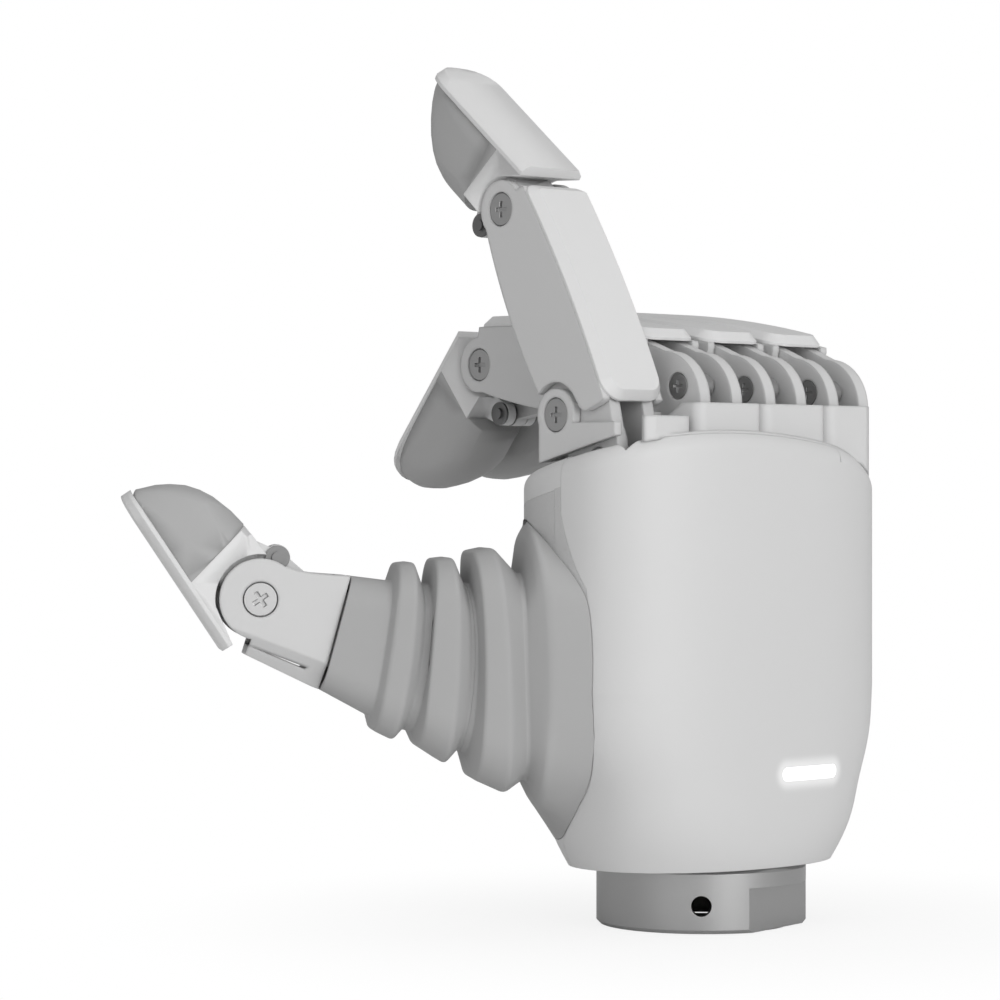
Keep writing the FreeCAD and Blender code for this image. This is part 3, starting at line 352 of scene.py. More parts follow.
screw_tree, given = new_tree(
    "Screw heads on points",
    ["Head radius", "Head height", "Shank radius", "Recess length", "Recess width", "Recess depth"],
)
tree = screw_tree
height = given["Head height"]
disc = {"Vertices": HEAD_SIDES, "Radius": given["Head radius"], "Depth": height}
head = add(tree, "GeometryNodeMeshCylinder", disc)
half_head = add(tree, "ShaderNodeMath", {0: height, 1: 0.5}, operation="MULTIPLY")
up = add(tree, "ShaderNodeCombineXYZ", {"Z": half_head})
twice = add(tree, "ShaderNodeMath", {0: given["Recess depth"], 1: 2.0}, operation="MULTIPLY")
for x, y in (("Recess length", "Recess width"), ("Recess width", "Recess length")):
    size = add(tree, "ShaderNodeCombineXYZ", {"X": given[x], "Y": given[y], "Z": twice})
    bar = add(tree, "GeometryNodeMeshCube", {"Size": size})
    bar = add(tree, "GeometryNodeTransform", {"Geometry": bar, "Translation": up})
    solids = {"Mesh 1": head, "Mesh 2": bar}
    head = add(tree, "GeometryNodeMeshBoolean", solids, operation="DIFFERENCE", solver="EXACT")
down = add(tree, "ShaderNodeMath", {0: half_head, 1: -1.0}, operation="MULTIPLY")
down = add(tree, "ShaderNodeCombineXYZ", {"Z": down})
sunk_head = add(tree, "GeometryNodeTransform", {"Geometry": head, "Translation": down})
rod = {"Vertices": SHANK_SIDES, "Radius": given["Shank radius"], "Depth": 1.0}
shank = add(tree, "GeometryNodeMeshCylinder", rod)
shank = add(tree, "GeometryNodeTransform", {"Geometry": shank, "Translation": (0, 0, -0.5)})
print("a head and a shank take", len(tree.nodes), "nodes")

# %% [markdown]
# A head sits on each point and is turned to face outward. A shank is drawn 1 m long, and the
# point's own reach shrinks it. It starts just short of the head's underside, so that the two
# overlap a little and show no gap.

# %% Put heads and shanks on the points
SHANK_START = 0.96

facing = add(tree, "GeometryNodeInputNamedAttribute", {"Name": "facing"}, data_type="FLOAT_VECTOR")
reach = add(tree, "GeometryNodeInputNamedAttribute", {"Name": "reach"}, data_type="FLOAT")
turn = add(tree, "FunctionNodeAlignRotationToVector", {"Vector": facing}, axis="Z")
on_points = {"Points": given["Geometry"], "Instance": sunk_head, "Rotation": turn}
heads = add(tree, "GeometryNodeInstanceOnPoints", on_points)
under_head = add(tree, "ShaderNodeMath", {0: height, 1: -SHANK_START}, operation="MULTIPLY")
inward = add(tree, "ShaderNodeVectorMath", {0: facing, "Scale": under_head}, operation="SCALE")
lowered = add(tree, "GeometryNodeSetPosition", {"Geometry": given["Geometry"], "Offset": inward})
stretch = add(tree, "ShaderNodeCombineXYZ", {"X": 1.0, "Y": 1.0, "Z": reach})
on_points = {"Points": lowered, "Instance": shank, "Rotation": turn, "Scale": stretch}
shanks = add(tree, "GeometryNodeInstanceOnPoints", on_points)
both = add(tree, "GeometryNodeJoinGeometry")
for part in (heads, shanks):
    tree.links.new(part.outputs["Instances"], both.inputs["Geometry"])
real = add(tree, "GeometryNodeRealizeInstances", {"Geometry": both})
painted = add(tree, "GeometryNodeSetMaterial", {"Geometry": real, "Material": given["Material"]})
add(tree, "NodeGroupOutput", {"Geometry": painted})
print("screw tree has", len(tree.nodes), "nodes")

# %% [markdown]
# The points for a pin come from its joint: the joint's place is the pin's middle and its axis is
# the pin's line. A point's own numbers, its direction and how far its shank reaches, go into
# attributes that the tree reads.

# %% Functions that make screws
SCREW_EDGE = 0.1


def new_object(name, data):
    """A new object in the scene, at the origin."""
    made = bpy.data.objects.new(name, data)
    bpy.context.scene.collection.objects.link(made)
    return made


def socket_id(tree, name):
    """The identifier by which a modifier knows a tree's input."""
    return next(item.identifier for item in tree.interface.items_tree if item.name == name)


def baked(carrier, values, tree, name):
    """Runs a tree on an object and returns the result as a plain mesh object."""
    modifier = carrier.modifiers.new("tree", "NODES")
    modifier.node_group = tree
    for field, value in values.items():
        modifier[socket_id(tree, field)] = value
    graph = bpy.context.evaluated_depsgraph_get()
    mesh = bpy.data.meshes.new_from_object(carrier.evaluated_get(graph))
    mesh.name = name
    bpy.data.objects.remove(carrier)
    return new_object(name, mesh)


def screws(name, centre, axis, face_mm, reach_mm, sizes):
    """Two headed halves of one pin, out to both sides of its middle."""
    centre, axis = Vector(centre), Vector(axis).normalized()
    outward = axis * (face_mm * MM)
    mesh = bpy.data.meshes.new(name + "_points")
    mesh.from_pydata([centre + outward, centre - outward], [], [])
    facing = mesh.attributes.new("facing", "FLOAT_VECTOR", "POINT")
    facing.data[0].vector = axis
    facing.data[1].vector = -axis
    reach = mesh.attributes.new("reach", "FLOAT", "POINT")
    for point in reach.data:
        point.value = reach_mm * MM
    carrier = new_object(name + "_points", mesh)
    return baked(carrier, {**sizes, "Material": stainless}, screw_tree, name)


def joined(name, pieces):
    """Several screws as one object, with a small bevel on their sharp edges."""
    whole = bmesh.new()
    for piece in pieces:
        whole.from_mesh(piece.data)
    mesh = bpy.data.meshes.new(name)
    whole.to_mesh(mesh)
    whole.free()
    mesh.materials.append(stainless)
    for piece in pieces:
        bpy.data.objects.remove(piece)
    made = new_object(name, mesh)
    bevel = made.modifiers.new("edges", "BEVEL")
    bevel.width = SCREW_EDGE * MM
    bevel.segments = 2
    bevel.limit_method = "ANGLE"
    return made


# %% [markdown]
# Screws come in standard sizes, and the cross recess follows the head. Three are used here: the
# pivots', the horns' and the small ones of the coupling's anchor pins.

# %% Sizes of the screws


def sizes_for(head_dia, head_height, shank_dia):
    """The screw tree's inputs for a screw, given in millimetres."""
    return {
        "Head radius": head_dia / 2 * MM,
        "Head height": head_height * MM,
        "Shank radius": shank_dia / 2 * MM,
        "Recess length": head_dia * 0.5 * MM,
        "Recess width": head_dia * 0.12 * MM,
        "Recess depth": head_height * 0.7 * MM,
    }


pivot_sizes = sizes_for(7.0, 1.1, 4.0)
horn_sizes = sizes_for(5.4, 0.7, 3.0)
anchor_sizes = sizes_for(2.6, 0.3, 2.5)
print("pivot screw heads are", round(pivot_sizes["Head radius"] * 2 / MM, 1), "mm wide")

# %% [markdown]
# Each finger has screws on two bodies. Its knuckle carries the axle and, deep inside, the
# coupling's anchor pin. Its proximal link carries the PIP axle and the horn's pin. A pin's faces
# lie as far out as the walls that it holds, and its shanks reach inward through them.

# %% Place the screws
PIVOT_FACE, PIVOT_REACH, AXLE_REACH = 8.6, 7.5, 3.9
HORN_FACE, HORN_REACH = 6.3, 5.6
ANCHOR_FACE, ANCHOR_REACH = 3.1, 2.8
ANCHOR_OFFSET = Vector((0.0, -2.0, 6.5))

for finger in FINGERS:
    mcp, pip = joints[finger + "_mcp"], joints[finger + "_pip"]
    horn = joints[finger + "_link_pivot"]
    at, axis = mcp["pos_m"], mcp["axis"]
    anchor_at = Vector(at) + ANCHOR_OFFSET * MM
    axle = screws(finger + "_axle", at, axis, PIVOT_FACE, AXLE_REACH, pivot_sizes)
    anchor = screws(finger + "_anchor", anchor_at, axis, ANCHOR_FACE, ANCHOR_REACH, anchor_sizes)
    knuckle_screws = joined(finger + "_knuckle_screws", [axle, anchor])
    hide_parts(finger + "_knuckle_pins")
    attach(knuckle_screws, mcp["parent"])
    at, axis = pip["pos_m"], pip["axis"]
    pip_pin = screws(finger + "_pip_pin", at, axis, PIVOT_FACE, PIVOT_REACH, pivot_sizes)
    at, axis = horn["pos_m"], horn["axis"]
    horn_pin = screws(finger + "_horn_pin", at, axis, HORN_FACE, HORN_REACH, horn_sizes)
    link_screws = joined(finger + "_link_screws", [pip_pin, horn_pin])
    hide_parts(finger + "_proximal_pins")
    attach(link_screws, mcp["child"])
thumb_ip = joints["thumb_ip"]
at, axis = thumb_ip["pos_m"], thumb_ip["axis"]
thumb_screw = screws("thumb_pin", at, axis, PIVOT_FACE, PIVOT_REACH, pivot_sizes)
thumb_screw = joined("thumb_screws", [thumb_screw])
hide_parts("thumb_joint_pin")
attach(thumb_screw, thumb_ip["parent"])

# %% [markdown]
# ## Directions
# The fingers stand across the palm, one beside the other, and flex forward. The thumb points
# away from the palm at an angle of its own, so its pieces are drawn from its base along its own
# directions: out, to its side and up.

# %% The directions of the fingers and the thumb
THUMB_BASE = Vector((-36.0, 8.0, 0.0))
THUMB_ANGLE = math.radians(146)
OUT = Vector((math.cos(THUMB_ANGLE), math.sin(THUMB_ANGLE), 0.0))
SIDE = Vector((-OUT.y, OUT.x, 0.0))
UP = Vector((0.0, 0.0, 1.0))
ACROSS = Vector((1.0, 0.0, 0.0))
FORWARD = Vector((0.0, 1.0, 0.0))
print("the thumb points along", [round(v, 2) for v in OUT])

# %% [markdown]
# ## Fingertips
# A fingertip's shell ends under a nail-like plate, and the silicone pad below it slopes back from
# the nail's end like a duck's bill. Shell and pad follow one smooth form on the real hand. Such a
# slope is hard to draw with fillets, so here that form is a closed surface through a row of
# sections. A section is flat at the nail, straight at the sides, and round at the pad. The nail
# itself is a plate as thick all over.

# %% Sections of the fingertips
# along the tip, half width, nail side, end of the straight side, pad side (mm from the joint)
finger_sections = [
    (-14.0, 13.0, -15.0, 9.0, 15.0),
    (11.6, 13.0, -15.0, 9.0, 15.0),
    (12.0, 8.82, -11.75, 5.0, 10.0),
    (16.0, 8.82, -11.75, 4.9, 10.0),
    (21.0, 8.82, -11.75, 4.2, 9.3),
    (25.0, 8.75, -11.75, 2.8, 8.3),
    (28.0, 8.6, -11.75, 1.0, 7.0),
    (31.0, 8.3, -11.7, -1.6, 5.2),
    (33.5, 7.8, -11.65, -4.0, 3.2),
    (36.0, 6.9, -11.6, -6.2, 1.0),
    (38.0, 5.8, -11.5, -7.6, -1.4),
    (39.4, 4.4, -11.4, -8.4, -3.3),
    (40.3, 2.9, -11.2, -8.8, -5.0),
    (40.9, 1.3, -11.0, -9.1, -6.8),
]
thumb_sections = [
    (-14.0, 14.0, -16.0, 9.0, 15.0),
    (12.2, 14.0, -16.0, 9.0, 15.0),
    (12.6, 8.82, -12.55, 4.6, 6.9),
    (18.7, 8.82, -12.55, 3.2, 5.8),
    (23.3, 8.7, -12.55, 1.0, 4.3),
    (26.0, 8.4, -12.55, -1.2, 2.8),
    (28.5, 7.8, -12.55, -3.4, 0.8),
    (30.5, 7.0, -12.5, -5.6, -1.8),
    (32.0, 6.0, -12.5, -7.6, -4.4),
    (33.1, 4.7, -12.45, -9.2, -7.4),
    (33.8, 3.2, -12.4, -10.0, -9.2),
    (34.2, 1.0, -12.2, -10.6, -10.2),
]

# the nail: along the tip, half width, outer face (mm from the joint)
finger_nail = [
    (-0.55, 8.84, -11.76),
    (32.0, 8.84, -11.76),
    (34.0, 8.6, -11.7),
    (36.0, 8.0, -11.55),
    (37.6, 7.1, -11.3),
    (38.9, 5.9, -11.05),
    (39.9, 4.5, -10.75),
    (40.5, 3.0, -10.5),
    (40.9, 1.4, -10.3),
]
thumb_nail = [
    (-4.7, 8.84, -12.56),
    (26.0, 8.84, -12.56),
    (28.5, 8.7, -12.56),
    (30.3, 8.1, -12.52),
    (31.7, 7.2, -12.47),
    (32.7, 6.0, -12.4),
    (33.4, 4.5, -12.3),
    (33.8, 2.8, -12.2),
    (34.0, 1.2, -12.1),
]
print(len(finger_sections), "sections for a finger's tip,", len(thumb_sections), "for the thumb's")

# %% Functions for closed forms


def closed_mesh(name, rings, faces):
    """A mesh on rings of points, given in millimetres, with its faces turned outward."""
    mesh = bpy.data.meshes.new(name)
    mesh.from_pydata([point * MM for ring in rings for point in ring], [], faces)
    whole = bmesh.new()
    whole.from_mesh(mesh)
    bmesh.ops.recalc_face_normals(whole, faces=whole.faces)
    whole.to_mesh(mesh)
    whole.free()
    return mesh


def bridged(first, second, size):
    """The faces between two rings of a mesh, given by the rings' numbers."""
    faces = []
    for i in range(size):
        j = (i + 1) % size
        faces.append((first * size + i, first * size + j, second * size + j, second * size + i))
    return faces


def lofted(name, rings):
    """A closed form through rings of points, with a face at both ends."""
    size, last = len(rings[0]), len(rings) - 1
    faces = [tuple(range(size)), tuple(last * size + i for i in range(size))]
    for k in range(last):
        faces += bridged(k, k + 1, size)
    return new_object(name, closed_mesh(name, rings, faces))


# %% [markdown]
# ### Their forms
# A section's chamfer is as wide all along the tip, until the section gets too small for it.
# The sections are given from the tip's joint, so a matrix puts them where the tip stands.

# %% Functions that draw a fingertip
SHELL_CHAMFER, NAIL_CHAMFER = 1.8, 1.5
NAIL_THICKNESS = 2.35
LEAST_HALF_WIDTH = 0.3
PAD_STEPS = 9


def mirrored(half):
    """A whole ring from the half of it at positive x, whose ends lie on the middle line."""
    return half + [(-x, y) for x, y in half[-2:0:-1]]


def tip_form(name, sections, place, inset=0.0):
    """A closed smooth form through the sections, put where a matrix says."""
    rings = []
    for z, w, nail, side, pad in sections:
        w = max(w - inset, LEAST_HALF_WIDTH)
        pad -= inset
        c = min(SHELL_CHAMFER, 0.42 * (side - nail), 0.6 * w)
        half = [(0.0, nail), (w - c, nail), (w, nail + c)]
        half += [(w, nail + c + (side - nail - c) * t) for t in (0.33, 0.66, 1.0)]
        for k in range(1, PAD_STEPS):
            a = math.radians(90 * k / PAD_STEPS)
            half.append((w * math.cos(a), side + (pad - side) * math.sin(a)))
        half.append((0.0, pad))
        rings.append([place @ Vector((x, y, z)) for x, y in mirrored(half)])
    return lofted(name, rings)


def nail_plate(name, rows, place):
    """The nail of a fingertip: a plate as thick all over, with a chamfer on its outside."""
    rings = []
    for z, w, nail in rows:
        c = min(NAIL_CHAMFER, 0.7 * w)
        under = nail + NAIL_THICKNESS
        half = [(0.0, nail), (w - c, nail), (w, nail + c), (w, under), (0.0, under)]
        rings.append([place @ Vector((x, y, z)) for x, y in mirrored(half)])
    return lofted(name, rings)


def leaning(joint, across, ahead, lean):
    """The matrix of a fingertip: its joint's place, its width's and thickness's directions."""
    a = math.radians(lean)
    y = ahead * math.cos(a) - UP * math.sin(a)
    z = ahead * math.sin(a) + UP * math.cos(a)
    place = Matrix((across, y, z)).transposed().to_4x4()
    place.translation = Vector(joint["pos_m"]) / MM
    return place


# %% [markdown]
# ### Their cuts
# The shell and the pad are cut to the form by a Boolean, as a moulder would turn a form on the
# part, and another one joins the nail to the shell. The pad's form is a little smaller, so that
# the pad sits inside its shell. A CAD node's mesh is loose triangles, so its copy has its
# points merged first.

# %% Functions that cut a fingertip
SHARP_EDGE = 32
SAME_POINT_M = 1e-7


def combined(carrier, other, operation):
    """A plain mesh: the carrier's solid joined with, or cut to, another one."""
    change = carrier.modifiers.new("change", "BOOLEAN")
    change.operation = operation
    change.solver = "EXACT"
    change.object = other
    graph = bpy.context.evaluated_depsgraph_get()
    mesh = bpy.data.meshes.new_from_object(carrier.evaluated_get(graph))
    bpy.data.objects.remove(carrier)
    mesh.shade_smooth()
    mesh.set_sharp_from_angle(angle=math.radians(SHARP_EDGE))
    return mesh


def cut_to(name, node, form, plate=None):
    """A copy of a CAD node in its finish, cut to a form, with a plate joined to it if given."""
    finish = nodes[node].data.materials[0]
    mesh = nodes[node].data.copy()
    whole = bmesh.new()
    whole.from_mesh(mesh)
    bmesh.ops.remove_doubles(whole, verts=whole.verts, dist=SAME_POINT_M)
    whole.to_mesh(mesh)
    whole.free()
    mesh = combined(new_object(name + "_whole", mesh), form, "INTERSECT")
    if plate:
        mesh = combined(new_object(name + "_cut", mesh), plate, "UNION")
    mesh.name = name
    mesh.materials.clear()
    mesh.materials.append(finish)
    return new_object(name, mesh)


# %% Cut the fingertips
finger_leans = {"index": 51.0, "middle": 140.0, "ring": 137.7, "little": 135.3}
THUMB_LEAN = -33.5
PAD_INSET = 0.3

tips = [
    (finger, finger + "_pip", finger + "_fingertip_pad", ACROSS, FORWARD, lean)
    for finger, lean in finger_leans.items()
]
tips.append(("thumb", "thumb_ip", "thumb_pad", SIDE, -OUT, THUMB_LEAN))
for digit, joint, pad_node, across, ahead, lean in tips:
    place = leaning(joints[joint], across, ahead, lean)
    sections = thumb_sections if digit == "thumb" else finger_sections
    nail = thumb_nail if digit == "thumb" else finger_nail
    form = tip_form(digit + "_form", sections, place)
    inner = tip_form(digit + "_pad_form", sections, place, PAD_INSET)
    plate = nail_plate(digit + "_plate", nail, place)
    shell = cut_to(digit + "_tip_shell", digit + "_distal_shell", form, plate)
    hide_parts(digit + "_distal_shell")
    pad = cut_to(digit + "_tip_pad", pad_node, inner)
    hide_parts(pad_node)
    for piece in (shell, pad):
        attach(piece, joints[joint]["child"])
    for helper in (form, inner, plate):
        bpy.data.objects.remove(helper)
    print(digit, "tip:", len(shell.data.polygons), "and", len(pad.data.polygons), "faces")

# %% [markdown]
# ## The bellows
# The thumb's root is wrapped in silicone: a plain sleeve that grips the proximal link, three big
# folds, and a skirt that lies on the palm. It isn't round, so it can't be spun like a simple
# bellows. A moulder would draw its sections as rounded rectangles that stand across the thumb,
# so the mesh is a row of rings. Each row gives the top and the bottom of a ring, as distances out
# from the thumb's base and up, its half width, its corner radius, and how far its sides bow
# towards the palm. The last ring isn't a rectangle: it lies on the palm's surface beside the back
# shell's edge.

# %% Rows of the bellows
# top (out, up), bottom (out, up), half width, corner radius, bow, edge rounding
bellows_rows = [
    ((44.8, 76.7), (51.3, 52.6), 10.4, 6.0, 0.0, 0.0),
    ((36.3, 75.6), (40.9, 46.9), 11.4, 6.5, 0.4, 0.4),
    ((34.9, 79.4), (40.1, 43.9), 13.5, 8.0, 0.6, 0.8),
    ((31.6, 79.7), (36.2, 42.0), 13.9, 8.0, 1.2, 0.9),
    ((29.7, 74.6), (34.0, 44.2), 11.3, 6.5, 1.5, 0.5),
    ((28.3, 74.7), (32.2, 43.6), 11.5, 6.6, 1.4, 0.4),
    ((27.2, 80.3), (30.7, 40.5), 15.0, 9.0, 0.2, 0.8),
    ((23.4, 80.7), (25.2, 36.9), 15.6, 9.0, 1.3, 1.0),
    ((20.9, 74.7), (22.4, 39.7), 12.9, 7.5, 1.8, 0.5),
    ((19.9, 74.9), (20.8, 39.0), 13.1, 7.6, 1.7, 0.4),
    ((19.3, 81.9), (19.0, 33.5), 17.4, 10.0, 1.5, 0.8),
    ((15.0, 82.8), (12.6, 30.6), 18.1, 10.5, 1.4, 1.1),
    ((9.7, 77.3), (8.3, 33.2), 14.2, 9.0, 0.2, 0.5),
    ((8.7, 77.1), (7.5, 32.8), 14.3, 9.0, 0.0, 0.4),
    ((7.8, 84.6), (6.6, 30.9), 16.4, 11.0, 2.0, 1.2),
    ((6.6, 87.0), (5.3, 28.2), 17.4, 12.5, 2.2, 1.6),
]
# the skirt's edge on the palm, as points of front-back place and height, from the top round past
# the back shell's edge
skirt_edge = [
    (11.3, 88.4),
    (4.8, 85.0),
    (-0.8, 80.6),
    (-5.2, 76.6),
    (-8.6, 71.5),
    (-9.7, 64.0),
    (-9.8, 57.0),
    (-9.7, 49.0),
    (-9.3, 41.8),
    (-6.4, 34.6),
    (-0.6, 27.9),
    (4.4, 22.9),
    (9.0, 19.7),
    (16.0, 20.2),
    (20.5, 25.0),
    (22.4, 33.0),
    (23.2, 44.0),
    (23.4, 56.0),
    (23.2, 68.0),
    (22.2, 78.0),
    (19.4, 85.0),
    (15.5, 88.2),
]
print(len(bellows_rows), "rows, and a skirt edge of", len(skirt_edge), "points")

# %% [markdown]
# The palm's own section is a superellipse that narrows towards the wrist. The skirt has to know
# it, because its edge lies there, and so that its inner wall stays outside the palm.

# %% The palm's surface
PALM_HALF_WIDTH, PALM_HALF_DEPTH = 43.0, 25.0
MOST_LIFT, LIFT_TRIES = 40.0, 24
# height, share of the half width, share of the half depth, squareness
palm_rows = [
    (13.6, 0.76, 0.90, 2.2),
    (18.1, 0.80, 0.96, 2.4),
    (23.8, 0.834, 0.99, 2.7),
    (30.4, 0.875, 1.0, 2.8),
    (37.9, 0.948, 1.0, 2.8),
    (44.5, 0.986, 1.0, 2.8),
    (52.0, 1.0, 1.0, 2.8),
]


def palm_section(height):
    """The section's half width, half depth and squareness at a height."""
    below = palm_rows[0]
    for row in palm_rows:
        if row[0] >= height:
            span = row[0] - below[0] or 1.0
            share = min(max((height - below[0]) / span, 0.0), 1.0)
            wide, deep, square = (below[i] + share * (row[i] - below[i]) for i in (1, 2, 3))
            return PALM_HALF_WIDTH * wide, PALM_HALF_DEPTH * deep, square
        below = row
    return PALM_HALF_WIDTH, PALM_HALF_DEPTH, below[3]


def inside_palm(point):
    """Whether a point lies inside the palm."""
    wide, deep, square = palm_section(point.z)
    return (abs(point.x) / wide) ** square + (abs(point.y) / deep) ** square < 1.0


def on_palm(y, z):
    """The point of the palm's thumb side at this place."""
    wide, deep, square = palm_section(z)
    share = max(1.0 - (abs(y) / deep) ** square, 0.0)
    return Vector((-wide * share ** (1.0 / square), y, z))


def lifted(point, gap):
    """The point, moved out along the thumb until it is clear of the palm."""
    if not inside_palm(point):
        return point
    low, high = 0.0, MOST_LIFT
    for _ in range(LIFT_TRIES):
        middle = (low + high) / 2
        if inside_palm(point + OUT * middle):
            low = middle
        else:
            high = middle
    return point + OUT * (high + gap)


print("the palm is", 2 * PALM_HALF_WIDTH, "mm wide and", 2 * PALM_HALF_DEPTH, "mm deep")

# %% [markdown]
# A ring's points are spread evenly along it from its top, and so are the skirt edge's, so that
# points with the same number lie in line. The folds' edges are rounded along each such line by
# a short curve at every row.

# %% Functions for a ring's points
RING_POINTS = 120
CORNER_STEPS = 12


def spread(path, count):
    """Points at even steps along a closed path, from its first point."""
    lengths = [0.0]
    for a, b in zip(path, path[1:] + path[:1]):
        lengths.append(lengths[-1] + (b - a).length)
    ring, j = [], 0
    for i in range(count):
        want = lengths[-1] * i / count
        while lengths[j + 1] < want:
            j += 1
        share = (want - lengths[j]) / (lengths[j + 1] - lengths[j])
        ring.append(path[j].lerp(path[(j + 1) % len(path)], share))
    return ring


def rectangle_ring(row, inset):
    """A rounded rectangle across the thumb, with sides that bow towards the palm."""
    top, low, width, corner, bow, _ = row
    high, deep = Vector(top), Vector(low)
    middle, half = (high + deep) / 2, (high - deep) / 2
    h, w, r = half.length - inset, width - inset, corner - inset
    half.normalize()
    path = [Vector((0.0, h))]
    corners = [(90, w - r, h - r), (0, w - r, r - h), (-90, r - w, r - h), (180, r - w, h - r)]
    for start, cx, cy in corners:
        for k in range(CORNER_STEPS + 1):
            a = math.radians(start - 90 / CORNER_STEPS * k)
            path.append(Vector((cx + r * math.cos(a), cy + r * math.sin(a))))
    ring = []
    for n, v in spread(path, RING_POINTS):
        out = middle + half * v - Vector((bow * (1.0 - (v / h) ** 2), 0.0))
        ring.append(THUMB_BASE + OUT * out.x + SIDE * n + UP * out.y)
    return ring


# %% Functions for curves
EDGE_STEPS, FOLD_STEPS = 6, 6
MOST_ROUNDED = 0.48


def smooth_loop(points):
    """A closed Catmull-Rom curve through the points."""
    path, count = [], len(points)
    for i in range(count):
        a, b, c, d = (Vector(points[(i + k - 1) % count]) for k in range(4))
        for k in range(EDGE_STEPS):
            t = k / EDGE_STEPS
            curve = b * 2 + (c - a) * t
            curve += (a * 2 - b * 5 + c * 4 - d) * t * t
            curve += (b * 3 - a - c * 3 + d) * t**3
            path.append(curve / 2)
    return path


def with_round_folds(rings, edges):
    """The rings with a short curve at every row, and the number of each row's last ring."""
    made, ends = [rings[0]], {0: 0}
    for k in range(1, len(rings) - 1):
        for step in range(FOLD_STEPS + 1):
            t = step / FOLD_STEPS
            ring = []
            for a, b, c in zip(rings[k - 1], rings[k], rings[k + 1]):
                before = b.lerp(a, min(MOST_ROUNDED, edges[k] / max((a - b).length, 0.01)))
                after = b.lerp(c, min(MOST_ROUNDED, edges[k] / max((c - b).length, 0.01)))
                ring.append(before * (1 - t) ** 2 + b * 2 * t * (1 - t) + after * t * t)
            made.append(ring)
        ends[k] = len(made) - 1
    made.append(rings[-1])
    return made, ends


# %% [markdown]
# The silicone has an outer and an inner row of rings with a wall between them. It is parted in a
# valley between two folds, where the thumb's swing meets its flexion.

# %% Rings of the outer and the inner wall
WALL = 1.5
SKIRT_GAP, INNER_GAP = 0.1, 0.15
SKIRT_HEART = THUMB_BASE + UP * 55.0
EDGE_TAPER = 0.06

edge_path = [on_palm(y, z) for y, z in smooth_loop(skirt_edge)]
skirt_ring = [lifted(p, SKIRT_GAP) + OUT * SKIRT_GAP for p in spread(edge_path, RING_POINTS)]
inner_edge = [p.lerp(SKIRT_HEART, EDGE_TAPER) for p in skirt_ring]
outer_rows = [rectangle_ring(row, 0.0) for row in bellows_rows]
inner_rows = [rectangle_ring(row, WALL) for row in bellows_rows]
roundings = [row[5] for row in bellows_rows] + [0.0]
outer_rings, row_ends = with_round_folds(outer_rows + [skirt_ring], roundings)
inner_rings, _ = with_round_folds(inner_rows + [inner_edge], roundings)
inner_rings = [[lifted(p, INNER_GAP) for p in ring] for ring in inner_rings]
print("bellows:", len(outer_rings), "rings of", RING_POINTS, "points")

# %% Build the two pieces of the bellows
PARTING_ROW = 8
SHARP_FOLD = 50


def silicone_wall(name, outer, inner):
    """A closed wall between an outer and an inner row of rings."""
    rings = outer + inner[::-1]
    faces = []
    for k in range(len(rings)):
        faces += bridged(k, (k + 1) % len(rings), RING_POINTS)
    mesh = closed_mesh(name, rings, faces)
    mesh.materials.append(bellows_silicone)
    mesh.shade_smooth()
    mesh.set_sharp_from_angle(angle=math.radians(SHARP_FOLD))
    return new_object(name, mesh)


parting = row_ends[PARTING_ROW]
bellows_tip = silicone_wall(
    "thumb_bellows_outer", outer_rings[: parting + 1], inner_rings[: parting + 1]
)
bellows_root = silicone_wall("thumb_bellows_root", outer_rings[parting:], inner_rings[parting:])
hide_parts("boot_outer")
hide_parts("boot_inner", "boot_skirt")
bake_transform(bellows_tip)
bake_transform(bellows_root)
print("bellows parted after", parting + 1, "rings")

# %% [markdown]
# ## The studio
# The photograph has a pure white background, soft light from the camera's right, and no hard
# shadow. The camera sees white past the hand, and the floor fades to the same white away from
# it, while it still takes the hand's shadow. Inside the wrist ring the floor stays plain, so that
# no white shows through the clamp screw's hole.

# %% Background
AMBIENT = 0.42


def camera_sees(tree):
    """A node that gives 1 for rays from the camera, straight or through something clear."""
    path = add(tree, "ShaderNodeLightPath").outputs
    rays = {0: path["Is Camera Ray"], 1: path["Is Transmission Ray"]}
    return add(tree, "ShaderNodeMath", rays, operation="MAXIMUM")


world = bpy.data.worlds.new("Studio")
bpy.context.scene.world = world
world.use_nodes = True
tree = world.node_tree
tree.nodes.clear()
ambient = add(tree, "ShaderNodeBackground", {"Color": WHITE, "Strength": AMBIENT})
white = add(tree, "ShaderNodeBackground", {"Color": WHITE, "Strength": 1.0})
sky = add(tree, "ShaderNodeMixShader", {0: camera_sees(tree), 1: ambient, 2: white})
add(tree, "ShaderNodeOutputWorld", {"Surface": sky})
print("background ready")

# %% Floor
WRIST_BORE_RADIUS = 19.0
FADE_START, FADE_END = 20.0, 140.0
NEAR_WHITE = 0.84
FLOOR_RADIUS_M = 3.0
FLOOR_DROP = 0.2

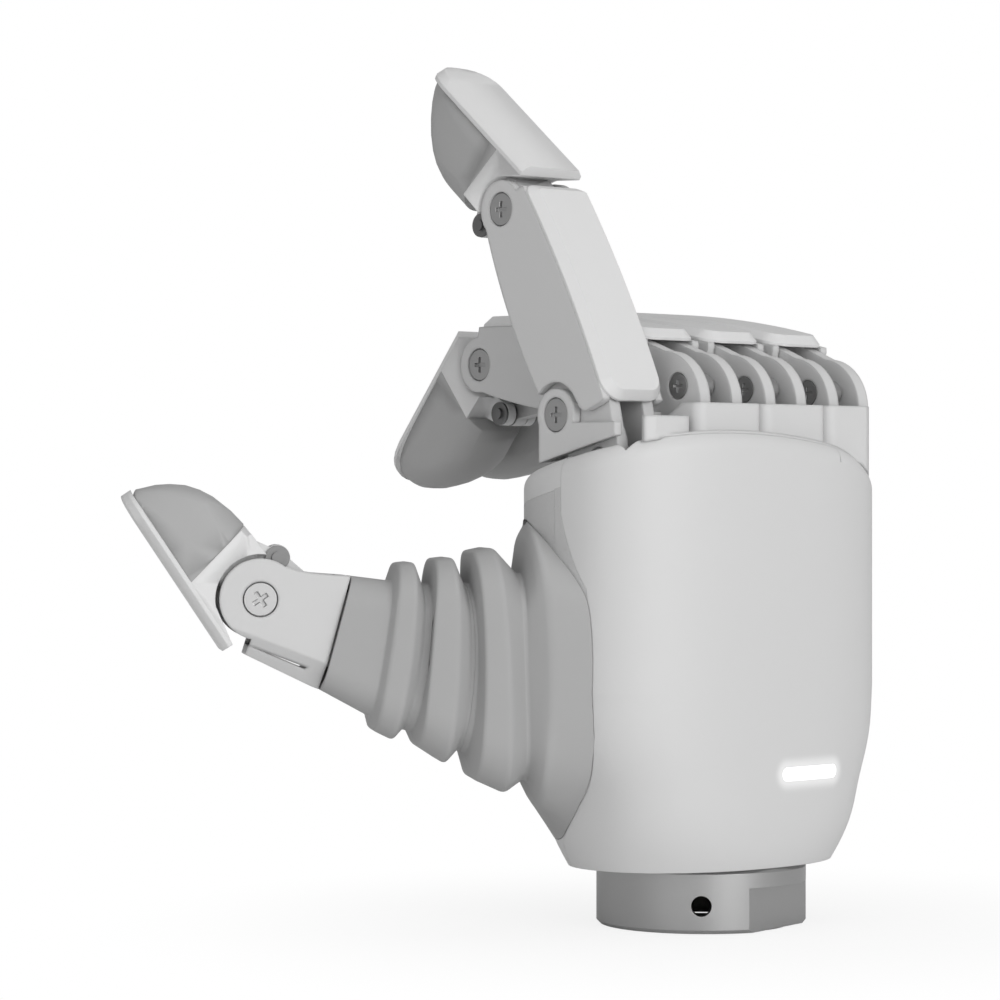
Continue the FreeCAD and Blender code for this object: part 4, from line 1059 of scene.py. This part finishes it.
floor_paper, tree = new_material("Pale paper floor")
place = add(tree, "ShaderNodeTexCoord").outputs["Object"]
from_hand = add(tree, "ShaderNodeVectorMath", {0: place}, operation="LENGTH").outputs["Value"]
fading = {
    "Value": from_hand,
    "From Min": FADE_START * MM,
    "From Max": FADE_END * MM,
    "To Min": NEAR_WHITE,
    "To Max": 1.0,
}
fade = add(tree, "ShaderNodeMapRange", fading, interpolation_type="SMOOTHSTEP")
bore = WRIST_BORE_RADIUS * MM
outside_wrist = add(tree, "ShaderNodeMath", {0: from_hand, 1: bore}, operation="GREATER_THAN")
fade = add(tree, "ShaderNodeMath", {0: fade, 1: outside_wrist}, operation="MULTIPLY")
share = add(tree, "ShaderNodeMath", {0: camera_sees(tree), 1: fade}, operation="MULTIPLY")
paper = add(tree, "ShaderNodeBsdfDiffuse", {"Color": linear("F4F4F4")})
glow = add(tree, "ShaderNodeEmission", {"Color": WHITE, "Strength": 1.0})
faded = add(tree, "ShaderNodeMixShader", {0: share, 1: paper, 2: glow})
add(tree, "ShaderNodeOutputMaterial", {"Surface": faded})
bpy.ops.mesh.primitive_circle_add(
    vertices=96, radius=FLOOR_RADIUS_M, fill_type="NGON", location=(0, 0, -FLOOR_DROP * MM)
)
floor = bpy.context.object
floor.name = "floor"
floor.data.materials.append(floor_paper)
print("floor ready")

# %% [markdown]
# One large soft box stands to the camera's right and lights the back of the hand. A weak one
# above gives the tops their tone, another on the left lifts the thumb's side, and the ambient
# light fills the rest.

# %% Lights
HAND_MIDDLE = Vector((-0.02, 0.0, 0.09))


def soft_box(name, place, size_m, power_w):
    """A square lamp that faces the hand."""
    lamp = bpy.data.lights.new(name, "AREA")
    lamp.shape = "SQUARE"
    lamp.size = size_m
    lamp.energy = power_w
    made = new_object(name, lamp)
    made.location = place
    made.rotation_euler = (HAND_MIDDLE - Vector(place)).to_track_quat("-Z", "Y").to_euler()


soft_box("soft box right", (-0.3, -1.4, 0.45), size_m=1.1, power_w=12.3)
soft_box("soft box top", (0.1, -0.1, 1.4), size_m=1.0, power_w=2.0)
soft_box("soft box left", (-1.35, -0.35, 0.4), size_m=1.0, power_w=2.6)
print("three soft boxes ready")

# %% [markdown]
# The camera stands level at mid height of the hand, to its thumb side, with a long lens.

# %% Camera
CAMERA_PLACE = (-0.5574, -0.5530, 0.0928)
CAMERA_TURN = -42.0
SENSOR_WIDTH, FOCAL_LENGTH = 36.0, 128.3

lens = bpy.data.cameras.new("camera")
lens.sensor_width = SENSOR_WIDTH
lens.lens = FOCAL_LENGTH
camera = new_object("camera", lens)
camera.location = CAMERA_PLACE
camera.rotation_euler = (math.radians(90), 0.0, math.radians(CAMERA_TURN))
bpy.context.scene.camera = camera
bpy.context.scene.view_settings.view_transform = "Standard"
print("camera with a lens of", FOCAL_LENGTH, "mm")
